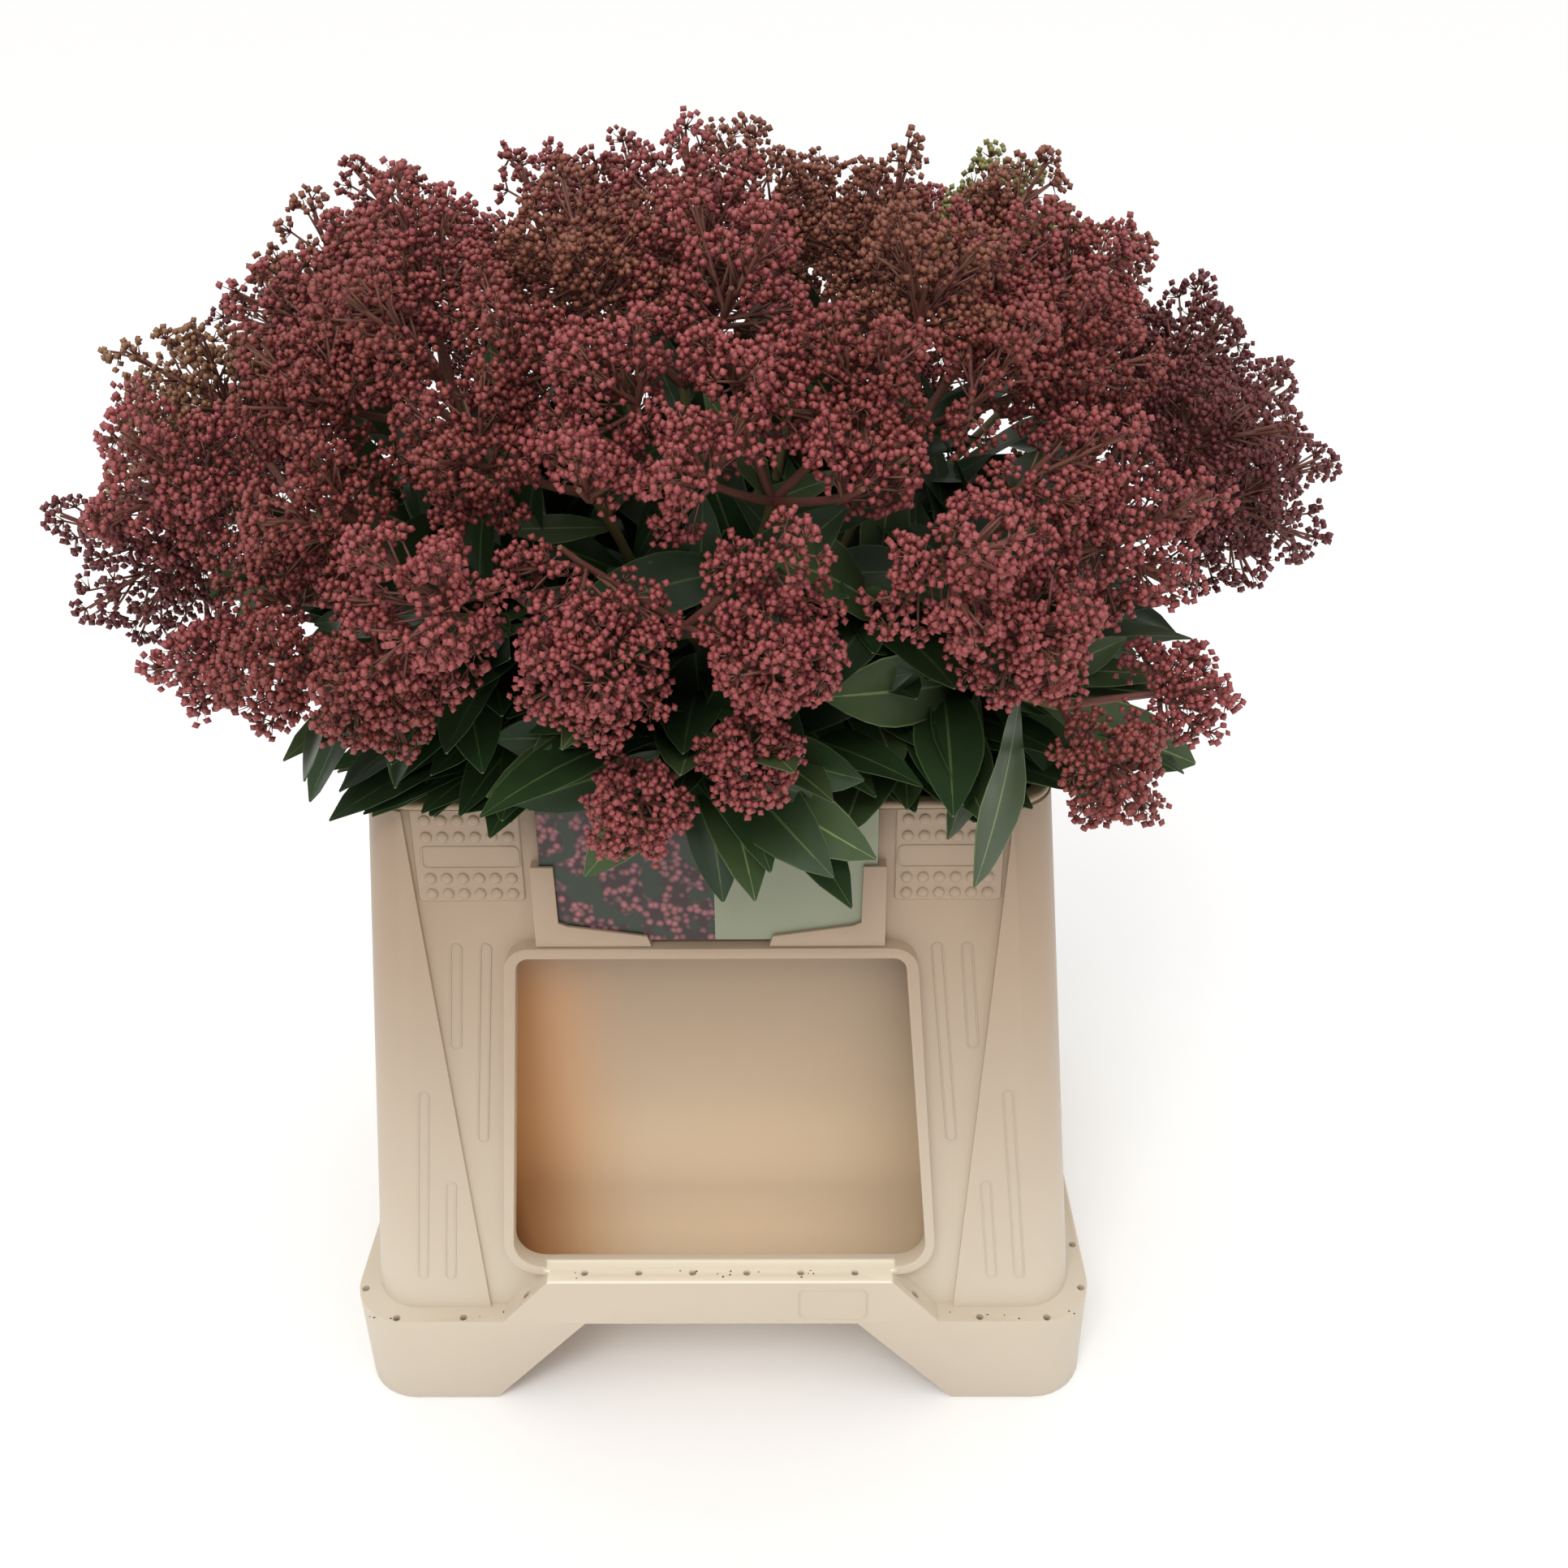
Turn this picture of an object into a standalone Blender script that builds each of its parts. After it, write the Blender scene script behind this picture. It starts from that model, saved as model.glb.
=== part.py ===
"""A bunch of cut skimmia shoots standing in a double-walled plastic flower bucket.

Metres, +Z up. The viewer stands at -Y. The bucket's inner tub and outer sleeve are one
body with the shoots: each shoot is a tapering stem in the tub, and above it a spray of
twigs, leaves and bud heads.
"""
import math
from dataclasses import dataclass

import bmesh
import bpy
import numpy as np
from mathutils import Matrix, Vector

# Bucket: outside sizes
BASE_WIDTH = 0.335
BASE_DEPTH = 0.275
BUCKET_HEIGHT = 0.300
FLARE_PER_SIDE = 0.024
LEDGE_SHELF = 0.0085
LEDGE_HEIGHT = 0.050
BASE_CORNER = 0.025
BODY_CORNER = 0.022
WALL = 0.003
SEAT_GAP = 0.0003

# Bucket: raised middle of the ledge, and the notch under it, front and back
RAISED_TOP_HALF = 0.075
RAISED_FOOT_HALF = 0.0975
RAISED_HEIGHT = 0.076
NOTCH_TOP_HALF = 0.061
NOTCH_FOOT_HALF = 0.105
NOTCH_HEIGHT = 0.049

# Bucket: window in the sleeve, front and back, and the lip round it
WINDOW_TOP_HALF = 0.078
WINDOW_FOOT_HALF = 0.0915
WINDOW_TOP = 0.2345
WINDOW_FOOT = 0.0775
WINDOW_FOOT_CORNER = 0.014
WINDOW_TOP_CORNER = 0.005
LIP_TOP_HALF = 0.0825
LIP_FOOT_HALF = 0.0975
LIP_TOP = 0.2385
LIP_FOOT = 0.0505
LIP_PROUD = 0.0045

# Bucket: holder of the label card, and the card
HOLDER_HALF = 0.0695
HOLDER_FOOT = 0.2395
HOLDER_TOP = 0.2747
HOLDER_ARM = 0.009
HOLDER_REACH = 0.045
HOLDER_PROUD = 0.0036
CARD_HALF = 0.066
CARD_FOOT = 0.2416
CARD_TOP = 0.3035
CARD_THICKNESS = 0.0008
CARD_STANDOFF = 0.0011

# Bucket: inner tub
TUB_RIM_HALF_X = 0.131
TUB_RIM_HALF_Y = 0.101
TUB_TAPER = 0.022
TUB_FOOT = 0.024
TUB_WALL = 0.0025
FLANGE_THICKNESS = 0.0032

# Crown: the heads lie on an egg round the middle of the rim
CROWN_CENTRE = Vector((0.0, 0.0, 0.300))
CROWN_HALF_WIDTH = 0.250
CROWN_HALF_DEPTH = 0.179
CROWN_HEIGHT = 0.202
CROWN_SQUARENESS = 2.4
NECK_SPREAD_X = 0.108
NECK_SPREAD_Y = 0.080
NECK_HEIGHT = 0.297
NECK_POLAR = 85.0
FOOT_SPREAD = 0.78

# Shoots
STEM_FOOT_RADIUS = 0.0036
STEM_TIP_RADIUS = 0.0029
STEM_SIDES = 5
RACHIS_RADIUS = 0.0026
FORK_RADIUS = 0.0019
TWIG_RADIUS = 0.0014
FORK_AT = 0.74
HEAD_SPLAY = 0.42
SPACE_MARGIN = 0.0009
BUCKET_CLEARANCE = 0.0025
GOLDEN_ANGLE = math.radians(137.508)
RISE_PULL = 0.36
OUTWARD_PULL = 0.40
STEM_BOW = 0.003

# Heads: bunches of buds set round a stalk, each widest at its belly
BELLY_AT = 0.68
BELLY_SIDES = 4
CLUSTER_WIDTH = 0.64
CLUSTER_CROWDING = 0.64
CLUSTER_LEAN = 68.0
CLUSTER_STEP = 1.6
CROWN_CLUSTER_LENGTH = 1.25
HEAD_SINK = 0.5

# Leaves
LEAF_SPAN = 0.34
LEAF_WIDTH = 0.29
LEAF_THICKNESS = 0.011
LEAF_BELLY_AT = 0.52
LEAF_TURN_STEP = math.radians(31.0)


@dataclass(frozen=True)
class Ring:
    """Shoots at one height of the crown; angles in degrees, sizes in metres."""

    shoots: int
    polar: float
    first_azimuth: float
    reach: float
    heads: int
    head_radius: float
    spread_across: float
    spread_up: float
    clusters: int
    leaves: int
    leaf_length: float
    leaf_lean: float
    colour: tuple


RINGS = {
    "top": Ring(3, 17.0, -6.0, 1.00, 3, 0.036, 1.05, 1.05, 5, 3, 0.062, 48.0, (0.36, 0.10, 0.08)),
    "shoulder": Ring(9, 39.0, -22.0, 1.00, 4, 0.034, 1.18, 0.95, 5, 3, 0.066, 52.0, (0.42, 0.11, 0.09)),
    "side": Ring(9, 60.0, -38.5, 1.00, 4, 0.035, 1.50, 0.90, 5, 4, 0.072, 56.0, (0.33, 0.07, 0.09)),
    "hem": Ring(7, 73.5, -52.0, 0.98, 2, 0.023, 1.30, 0.85, 5, 6, 0.072, 60.0, (0.16, 0.22, 0.07)),
}
PLASTIC = (0.86, 0.78, 0.65)
CARD_GREEN = (0.63, 0.66, 0.46)
BARK = (0.20, 0.16, 0.07)


def clear_scene():
    for item in list(bpy.data.objects):
        bpy.data.objects.remove(item, do_unlink=True)


def make_material(name, colour, roughness):
    material = bpy.data.materials.new(name)
    material.use_nodes = True
    shader = material.node_tree.nodes["Principled BSDF"]
    shader.inputs["Base Color"].default_value = (*colour, 1.0)
    shader.inputs["Roughness"].default_value = roughness
    shader.inputs["Metallic"].default_value = 0.0
    material.diffuse_color = (*colour, 1.0)
    return material


def make_object(name, vertices, faces, material=None):
    mesh = bpy.data.meshes.new(name)
    mesh.from_pydata([tuple(vertex) for vertex in vertices], [], faces)
    mesh.validate()
    if material is not None:
        mesh.materials.append(material)
    item = bpy.data.objects.new(name, mesh)
    bpy.context.scene.collection.objects.link(item)
    return item


def loft(rings):
    """Closed skin over rings of points; a ring of one point closes the end to a tip."""
    vertices = []
    faces = []
    starts = []
    for ring in rings:
        starts.append(len(vertices))
        vertices.extend(ring)
    for low, high, start, above in zip(rings, rings[1:], starts, starts[1:]):
        count = max(len(low), len(high))
        for k in range(count):
            after = (k + 1) % count
            if len(low) == 1:
                faces.append((start, above + after, above + k))
            elif len(high) == 1:
                faces.append((start + k, start + after, above))
            else:
                faces.append((start + k, start + after, above + after, above + k))
    if len(rings[0]) > 1:
        faces.append(tuple(starts[0] + k for k in reversed(range(len(rings[0])))))
    if len(rings[-1]) > 1:
        faces.append(tuple(starts[-1] + k for k in range(len(rings[-1]))))
    return vertices, faces


def rounded_rectangle(half_x, half_y, corner, z, steps=4):
    points = []
    for quarter, (sign_x, sign_y) in enumerate(((1, 1), (-1, 1), (-1, -1), (1, -1))):
        centre_x = sign_x * (half_x - corner)
        centre_y = sign_y * (half_y - corner)
        for step in range(steps + 1):
            angle = math.radians(90.0 * (quarter + step / steps))
            x = centre_x + corner * math.cos(angle)
            y = centre_y + corner * math.sin(angle)
            points.append(Vector((x, y, z)))
    return points


def tapered_shell(name, levels, material=None):
    """Loft over levels of (height, half width, half depth, corner radius)."""
    rings = [rounded_rectangle(half_x, half_y, corner, z) for z, half_x, half_y, corner in levels]
    vertices, faces = loft(rings)
    return make_object(name, vertices, faces, material)


def prism(name, outline, front, back):
    """Solid between two y values of an outline of (x, z); front and back give y from z."""
    near = [Vector((x, front(z), z)) for x, z in outline]
    far = [Vector((x, back(z), z)) for x, z in outline]
    vertices, faces = loft([near, far])
    item = make_object(name, vertices, faces)
    mesh = bmesh.new()
    mesh.from_mesh(item.data)
    bmesh.ops.recalc_face_normals(mesh, faces=mesh.faces)
    mesh.to_mesh(item.data)
    mesh.free()
    return item


def combine(target, operand, operation):
    operand.hide_render = True
    operand.display_type = "WIRE"
    modifier = target.modifiers.new(operand.name, "BOOLEAN")
    modifier.operation = operation
    modifier.solver = "EXACT"
    modifier.object = operand


def shade(item, degrees=35.0):
    item.data.shade_smooth()
    item.data.set_sharp_from_angle(angle=math.radians(degrees))


def sleeve_half(z, across):
    """Half width (or half depth) of the sleeve's sloping wall at height z."""
    foot = across / 2 - LEDGE_SHELF
    return foot - FLARE_PER_SIDE * (z - LEDGE_HEIGHT) / (BUCKET_HEIGHT - LEDGE_HEIGHT)


def face_y(z):
    """The sleeve's front face; the back face is its mirror image."""
    return -sleeve_half(z, BASE_DEPTH)


def mirrored_outline(right_half):
    return right_half + [(-x, z) for x, z in reversed(right_half)]


def window_outline():
    slope = (WINDOW_FOOT_HALF - WINDOW_TOP_HALF) / (WINDOW_TOP - WINDOW_FOOT)
    points = []
    for step in range(5):
        angle = math.radians(-90.0 + 22.5 * step)
        z = WINDOW_FOOT + WINDOW_FOOT_CORNER * (1 + math.sin(angle))
        edge = WINDOW_FOOT_HALF - slope * (z - WINDOW_FOOT)
        points.append((edge - WINDOW_FOOT_CORNER * (1 - math.cos(angle)), z))
    points.append((WINDOW_TOP_HALF, WINDOW_TOP - WINDOW_TOP_CORNER))
    points.append((WINDOW_TOP_HALF - WINDOW_TOP_CORNER, WINDOW_TOP))
    return mirrored_outline(points)


def make_sleeve(material):
    """Outer wall with a base ring, raised ledges, notches, windows and card holders."""
    half_x = BASE_WIDTH / 2
    half_y = BASE_DEPTH / 2
    top = BUCKET_HEIGHT - FLANGE_THICKNESS - SEAT_GAP
    outer = [
        (0.0, half_x, half_y, BASE_CORNER),
        (LEDGE_HEIGHT, half_x, half_y, BASE_CORNER),
        (LEDGE_HEIGHT, sleeve_half(LEDGE_HEIGHT, BASE_WIDTH), sleeve_half(LEDGE_HEIGHT, BASE_DEPTH),
         BODY_CORNER),
        (top, sleeve_half(top, BASE_WIDTH), sleeve_half(top, BASE_DEPTH), BODY_CORNER),
    ]
    sleeve = tapered_shell("bucket_sleeve", outer, material)
    run_out = 0.02
    inside = LEDGE_HEIGHT - WALL
    above = top + run_out
    inner = [
        (-run_out, half_x - WALL, half_y - WALL, BASE_CORNER - WALL),
        (inside, half_x - WALL, half_y - WALL, BASE_CORNER - WALL),
        (inside, sleeve_half(inside, BASE_WIDTH) - WALL, sleeve_half(inside, BASE_DEPTH) - WALL,
         BODY_CORNER - WALL),
        (above, sleeve_half(above, BASE_WIDTH) - WALL, sleeve_half(above, BASE_DEPTH) - WALL,
         BODY_CORNER - WALL),
    ]
    ledge_low = LEDGE_HEIGHT - 2 * WALL
    slope = (RAISED_FOOT_HALF - RAISED_TOP_HALF) / (RAISED_HEIGHT - LEDGE_HEIGHT)
    raised = mirrored_outline([
        (RAISED_FOOT_HALF + slope * (LEDGE_HEIGHT - ledge_low), ledge_low),
        (RAISED_TOP_HALF, RAISED_HEIGHT),
    ])
    combine(sleeve, prism("raised_ledge", raised, lambda z: -half_y, lambda z: half_y), "UNION")
    for name, side in (("front", 1), ("back", -1)):
        lip = mirrored_outline([(LIP_FOOT_HALF, LIP_FOOT), (LIP_TOP_HALF, LIP_TOP)])
        lip_solid = prism(f"lip_{name}", lip,
                          lambda z: side * (face_y(z) - LIP_PROUD),
                          lambda z: side * (face_y(z) + WALL / 2))
        combine(sleeve, lip_solid, "UNION")
        arm_end = HOLDER_HALF - HOLDER_REACH
        for hand in (-1, 1):
            corner = [
                (hand * HOLDER_HALF, HOLDER_FOOT),
                (hand * HOLDER_HALF, HOLDER_TOP),
                (hand * (HOLDER_HALF - HOLDER_ARM), HOLDER_TOP),
                (hand * (HOLDER_HALF - HOLDER_ARM), HOLDER_FOOT + HOLDER_ARM),
                (hand * arm_end, HOLDER_FOOT + HOLDER_ARM / 2),
                (hand * arm_end, HOLDER_FOOT),
            ]
            holder = prism(f"holder_{name}_{'left' if hand < 0 else 'right'}", corner,
                           lambda z: side * (face_y(z) - HOLDER_PROUD),
                           lambda z: side * (face_y(z) + WALL / 2))
            combine(sleeve, holder, "UNION")
    combine(sleeve, tapered_shell("sleeve_inside", inner), "DIFFERENCE")
    hollow = mirrored_outline([
        (RAISED_FOOT_HALF - WALL + slope * (LEDGE_HEIGHT - NOTCH_HEIGHT / 2), NOTCH_HEIGHT / 2),
        (RAISED_TOP_HALF - WALL / 2, RAISED_HEIGHT - WALL),
    ])
    hollow_y = half_y - WALL
    combine(sleeve, prism("ledge_inside", hollow, lambda z: -hollow_y, lambda z: hollow_y), "DIFFERENCE")
    notch_slope = (NOTCH_FOOT_HALF - NOTCH_TOP_HALF) / NOTCH_HEIGHT
    notch = mirrored_outline([
        (NOTCH_FOOT_HALF + notch_slope * run_out, -run_out),
        (NOTCH_TOP_HALF, NOTCH_HEIGHT),
    ])
    through = half_y + run_out
    combine(sleeve, prism("notches", notch, lambda z: -through, lambda z: through), "DIFFERENCE")
    window = window_outline()
    combine(sleeve, prism("windows", window, lambda z: -through, lambda z: through), "DIFFERENCE")
    for name, side in (("front", 1), ("back", -1)):
        slot_half = CARD_HALF + SEAT_GAP
        slot_foot = CARD_FOOT - SEAT_GAP
        slot = mirrored_outline([(slot_half, slot_foot), (slot_half, CARD_TOP)])
        near = CARD_STANDOFF + CARD_THICKNESS + SEAT_GAP
        far = CARD_STANDOFF - SEAT_GAP
        slot_solid = prism(f"slot_{name}", slot,
                           lambda z: side * (face_y(z) - near),
                           lambda z: side * (face_y(z) - far))
        combine(sleeve, slot_solid, "DIFFERENCE")
    shade(sleeve)
    return sleeve


def make_card(material):
    outline = mirrored_outline([(CARD_HALF, CARD_FOOT), (CARD_HALF, CARD_TOP)])
    card = prism("label_card", outline,
                 lambda z: face_y(z) - CARD_STANDOFF - CARD_THICKNESS,
                 lambda z: face_y(z) - CARD_STANDOFF)
    card.data.materials.append(material)
    return card


def make_tub(material):
    """Inner tub: a flange on the sleeve's top, walls that draw in, and a floor."""
    flange_under = BUCKET_HEIGHT - FLANGE_THICKNESS
    rim_x = sleeve_half(BUCKET_HEIGHT, BASE_WIDTH)
    rim_y = sleeve_half(BUCKET_HEIGHT, BASE_DEPTH)
    corner = BODY_CORNER - WALL
    outer = [
        (TUB_FOOT, TUB_RIM_HALF_X - TUB_TAPER, TUB_RIM_HALF_Y - TUB_TAPER, corner),
        (flange_under, TUB_RIM_HALF_X, TUB_RIM_HALF_Y, corner),
        (flange_under, rim_x, rim_y, BODY_CORNER),
        (BUCKET_HEIGHT, rim_x, rim_y, BODY_CORNER),
    ]
    tub = tapered_shell("bucket_tub", outer, material)
    run_out = 0.01
    inner = [
        (TUB_FOOT + TUB_WALL, tub_inside(TUB_FOOT, TUB_RIM_HALF_X), tub_inside(TUB_FOOT, TUB_RIM_HALF_Y),
         corner - TUB_WALL),
        (BUCKET_HEIGHT + run_out, tub_inside(BUCKET_HEIGHT + run_out, TUB_RIM_HALF_X),
         tub_inside(BUCKET_HEIGHT + run_out, TUB_RIM_HALF_Y), corner - TUB_WALL),
    ]
    combine(tub, tapered_shell("tub_inside", inner), "DIFFERENCE")
    shade(tub)
    return tub


def tub_inside(z, rim_half):
    """Half width of the tub's hollow at height z."""
    share = (BUCKET_HEIGHT - z) / (BUCKET_HEIGHT - TUB_FOOT)
    return rim_half - TUB_WALL - TUB_TAPER * share


def wobble(*keys):
    """Repeatable number between -1 and 1 from a few integers."""
    weights = (12.9898, 78.233, 37.719, 9.131)
    total = sum((key + 1) * weight for key, weight in zip(keys, weights))
    value = math.sin(total) * 43758.5453
    return 2.0 * (value - math.floor(value)) - 1.0


def crown_point(azimuth, polar, reach=1.0):
    """Point on the crown's squarish egg; azimuth 0 faces the viewer, polar 0 is straight up."""
    across = math.sin(polar)
    aim = Vector((across * math.sin(azimuth), -across * math.cos(azimuth), math.cos(polar)))
    shares = (aim.x / CROWN_HALF_WIDTH, aim.y / CROWN_HALF_DEPTH, aim.z / CROWN_HEIGHT)
    radius = sum(abs(share) ** CROWN_SQUARENESS for share in shares) ** (-1.0 / CROWN_SQUARENESS)
    return CROWN_CENTRE + reach * radius * aim


def bezier(points, t):
    a, b, c, d = points
    s = 1.0 - t
    return a * s**3 + b * (3 * s * s * t) + c * (3 * s * t * t) + d * t**3


def side_axes(direction):
    """Two directions square to the given one."""
    helper = Vector((0.0, 0.0, 1.0)) if abs(direction.z) < 0.9 else Vector((1.0, 0.0, 0.0))
    across = direction.cross(helper).normalized()
    return across, across.cross(direction).normalized()


def polygon(centre, across, up, radius, sides, turn=0.0):
    points = []
    for k in range(sides):
        angle = turn - 2 * math.pi * k / sides
        points.append(centre + radius * (math.cos(angle) * across + math.sin(angle) * up))
    return points


def tube(path, directions, radii, sides):
    """Tapering limb along a path; its cross-section is carried on without a twist."""
    across, up = side_axes(directions[0])
    rings = []
    for point, direction, radius in zip(path, directions, radii):
        across = (across - direction * across.dot(direction)).normalized()
        up = across.cross(direction).normalized()
        rings.append(polygon(point, across, up, radius, sides))
    return loft(rings)


def path_directions(path):
    """Direction of travel at each point, from its neighbours."""
    last = len(path) - 1
    return [(path[min(k + 1, last)] - path[max(k - 1, 0)]).normalized() for k in range(last + 1)]


def bud_cluster(root, tip, radius, turn):
    """Top-shaped bunch of buds: it widens from its root to a belly and ends in a blunt tip."""
    axis = tip - root
    across, up = side_axes(axis.normalized())
    belly = polygon(root + BELLY_AT * axis, across, up, radius, BELLY_SIDES, turn)
    return loft([[root], belly, [tip]])


def leaf(root, tip, normal, width):
    """Flat pointed blade of eight faces, widest a little past the middle."""
    axis = tip - root
    length = axis.length
    across = axis.cross(normal).normalized()
    up = across.cross(axis).normalized()
    middle = root + LEAF_BELLY_AT * axis
    thickness = LEAF_THICKNESS * length
    ring = [
        middle - across * width / 2,
        middle + up * thickness,
        middle + across * width / 2,
        middle - up * thickness,
    ]
    return loft([[root], ring, [tip]])


class Shoot:
    """One stem from the tub's floor, the path of its spray and the places of its heads."""

    def __init__(self, ring_name, ring_index, number):
        ring = RINGS[ring_name]
        self.ring = ring
        self.ring_name = ring_name
        self.name = f"{ring_name}_{number + 1}"
        self.key = ring_index * 20 + number
        turn = ring.first_azimuth + 360.0 / ring.shoots * number
        azimuth = math.radians(turn + 4.0 * wobble(self.key, 1))
        polar = math.radians(ring.polar + 3.5 * wobble(self.key, 2))
        reach = ring.reach + 0.03 * wobble(self.key, 3)
        spread = math.degrees(polar) / NECK_POLAR
        self.neck = Vector((
            NECK_SPREAD_X * spread * math.sin(azimuth),
            -NECK_SPREAD_Y * spread * math.cos(azimuth),
            NECK_HEIGHT,
        ))
        self.foot = Vector((
            FOOT_SPREAD * self.neck.x,
            FOOT_SPREAD * self.neck.y,
            TUB_FOOT + TUB_WALL + SEAT_GAP,
        ))
        rise = (self.neck - self.foot).normalized()
        target = crown_point(azimuth, polar, reach)
        outward = (target - CROWN_CENTRE).normalized()
        span = (target - self.neck).length
        self.rise = rise
        start = self.neck + rise * SEAT_GAP
        self.curve = (
            start,
            start + rise * RISE_PULL * span,
            target - outward * OUTWARD_PULL * span,
            target,
        )
        self.fork = bezier(self.curve, FORK_AT)
        self.heads = self.place_heads(target, outward)
        self.lines = self.own_lines()

    def place_heads(self, target, outward):
        """Base and direction of each head."""
        across, up = side_axes(outward)
        radius = self.ring.head_radius
        placed = []
        turn = math.pi * (0.18 * wobble(self.key, 4) + (0.25 if self.ring.heads > 2 else 0.0))
        for k in range(self.ring.heads):
            angle = turn + 2 * math.pi * k / self.ring.heads
            sideways = self.ring.spread_across * math.cos(angle) * across
            sideways += self.ring.spread_up * math.sin(angle) * up
            lift = 1.0 + 0.10 * wobble(self.key, 5, k)
            centre = target + sideways * radius * lift
            direction = (outward + HEAD_SPLAY * sideways).normalized()
            placed.append((centre - HEAD_SINK * radius * direction, direction))
        return placed

    def own_lines(self):
        """The pieces of line that stand for this shoot when spaces are shared out."""
        path = [self.foot, self.neck] + [bezier(self.curve, t) for t in (0.25, 0.5, FORK_AT)]
        lines = list(zip(path, path[1:]))
        for base, direction in self.heads:
            lines.append((self.fork, base))
            lines.append((base, base + 0.9 * self.ring.head_radius * direction))
        starts = np.array([tuple(a) for a, b in lines])
        ends = np.array([tuple(b) for a, b in lines])
        return starts, ends


def distance_to_lines(points, lines):
    """Distance from each point to the nearest of the line pieces."""
    starts, ends = lines
    along = ends - starts
    offset = points[:, None, :] - starts[None, :, :]
    share = np.clip((offset * along).sum(-1) / (along * along).sum(-1), 0.0, 1.0)
    nearest = starts[None, :, :] + share[..., None] * along[None, :, :]
    return np.linalg.norm(points[:, None, :] - nearest, axis=-1).min(axis=1)


def clears_bucket(points):
    """Above the rim, or in the mouth, or outside the sleeve."""
    x = np.abs(points[:, 0])
    y = np.abs(points[:, 1])
    z = points[:, 2]
    above = z > BUCKET_HEIGHT + BUCKET_CLEARANCE
    inside = (x < tub_inside(z, TUB_RIM_HALF_X) - BUCKET_CLEARANCE) & (
        y < tub_inside(z, TUB_RIM_HALF_Y) - BUCKET_CLEARANCE)
    stand_off = HOLDER_PROUD + BUCKET_CLEARANCE
    outside = (x > sleeve_half(z, BASE_WIDTH) + BUCKET_CLEARANCE) | (
        y > sleeve_half(z, BASE_DEPTH) + stand_off)
    card_clear = (z > CARD_TOP + BUCKET_CLEARANCE) | (points[:, 1] < face_y(z) - stand_off) | (
        points[:, 1] > face_y(z) + stand_off) | (x > CARD_HALF + BUCKET_CLEARANCE)
    return bool(np.all((above | inside | outside) & card_clear))


def sample_points(vertices, faces):
    """The piece's corners, and points spread along its edges."""
    points = np.array([tuple(vertex) for vertex in vertices])
    edges = sorted({tuple(sorted((face[k - 1], face[k]))) for face in faces for k in range(len(face))})
    edges = np.array(edges)
    shares = np.array((0.25, 0.5, 0.75))[:, None, None]
    between = points[edges[:, 0]] * (1 - shares) + points[edges[:, 1]] * shares
    return np.vstack((points, between.reshape(-1, 3)))


def keeps_to_space(shoot, others, solid):
    """True where every sampled point lies nearer this shoot's lines than any other's."""
    points = sample_points(*solid)
    if not clears_bucket(points):
        return False
    own = distance_to_lines(points, shoot.lines)
    for other in others:
        if np.any(distance_to_lines(points, other.lines) < own + 2 * SPACE_MARGIN):
            return False
    return True


def clears_own_stem(shoot, solid):
    points = sample_points(*solid)
    stem = (shoot.lines[0][:1], shoot.lines[1][:1])
    return bool(np.all(distance_to_lines(points, stem) > STEM_TIP_RADIUS + BUCKET_CLEARANCE))


def is_crowded(belly, radius, bellies):
    """True where another bunch's belly is too near to this one's."""
    for other, size in bellies:
        if (belly - other).length < CLUSTER_CROWDING * (radius + size):
            return True
    return False


def head_clusters(shoot, others):
    """Bunches round each head's stalk, each rooted a little lower; crowded ones are left out."""
    ring = shoot.ring
    solids = []
    bellies = []
    for head_number, (base, direction) in enumerate(shoot.heads):
        across, up = side_axes(direction)
        for k in range(ring.clusters):
            if k == 0:
                aim = direction
                length = CROWN_CLUSTER_LENGTH * ring.head_radius
                root = base - TWIG_RADIUS * direction
            else:
                angle = 2 * math.pi * k / (ring.clusters - 1) + 0.5 * wobble(shoot.key, 6, head_number)
                lean = math.radians(CLUSTER_LEAN + 8.0 * wobble(shoot.key, 7, head_number, k))
                sideways = math.cos(angle) * across + math.sin(angle) * up
                aim = (math.cos(lean) * direction + math.sin(lean) * sideways).normalized()
                length = ring.head_radius * (0.98 + 0.08 * wobble(shoot.key, 8, head_number, k))
                root = base - direction * TWIG_RADIUS * (1.0 + CLUSTER_STEP * k)
            for shrink in (1.0, 0.92, 0.84, 0.76, 0.68, 0.58):
                radius = CLUSTER_WIDTH * ring.head_radius * shrink
                belly = root + aim * length * shrink * BELLY_AT
                solid = bud_cluster(root, root + aim * length * shrink, radius, 0.7 * k)
                if is_crowded(belly, radius, bellies):
                    continue
                if keeps_to_space(shoot, others, solid):
                    solids.append(solid)
                    bellies.append((belly, radius))
                    break
    return solids, bellies


def clears_bellies(solid, bellies):
    points = sample_points(*solid)
    return all(np.linalg.norm(points - np.array(belly), axis=1).min() > size for belly, size in bellies)


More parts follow.
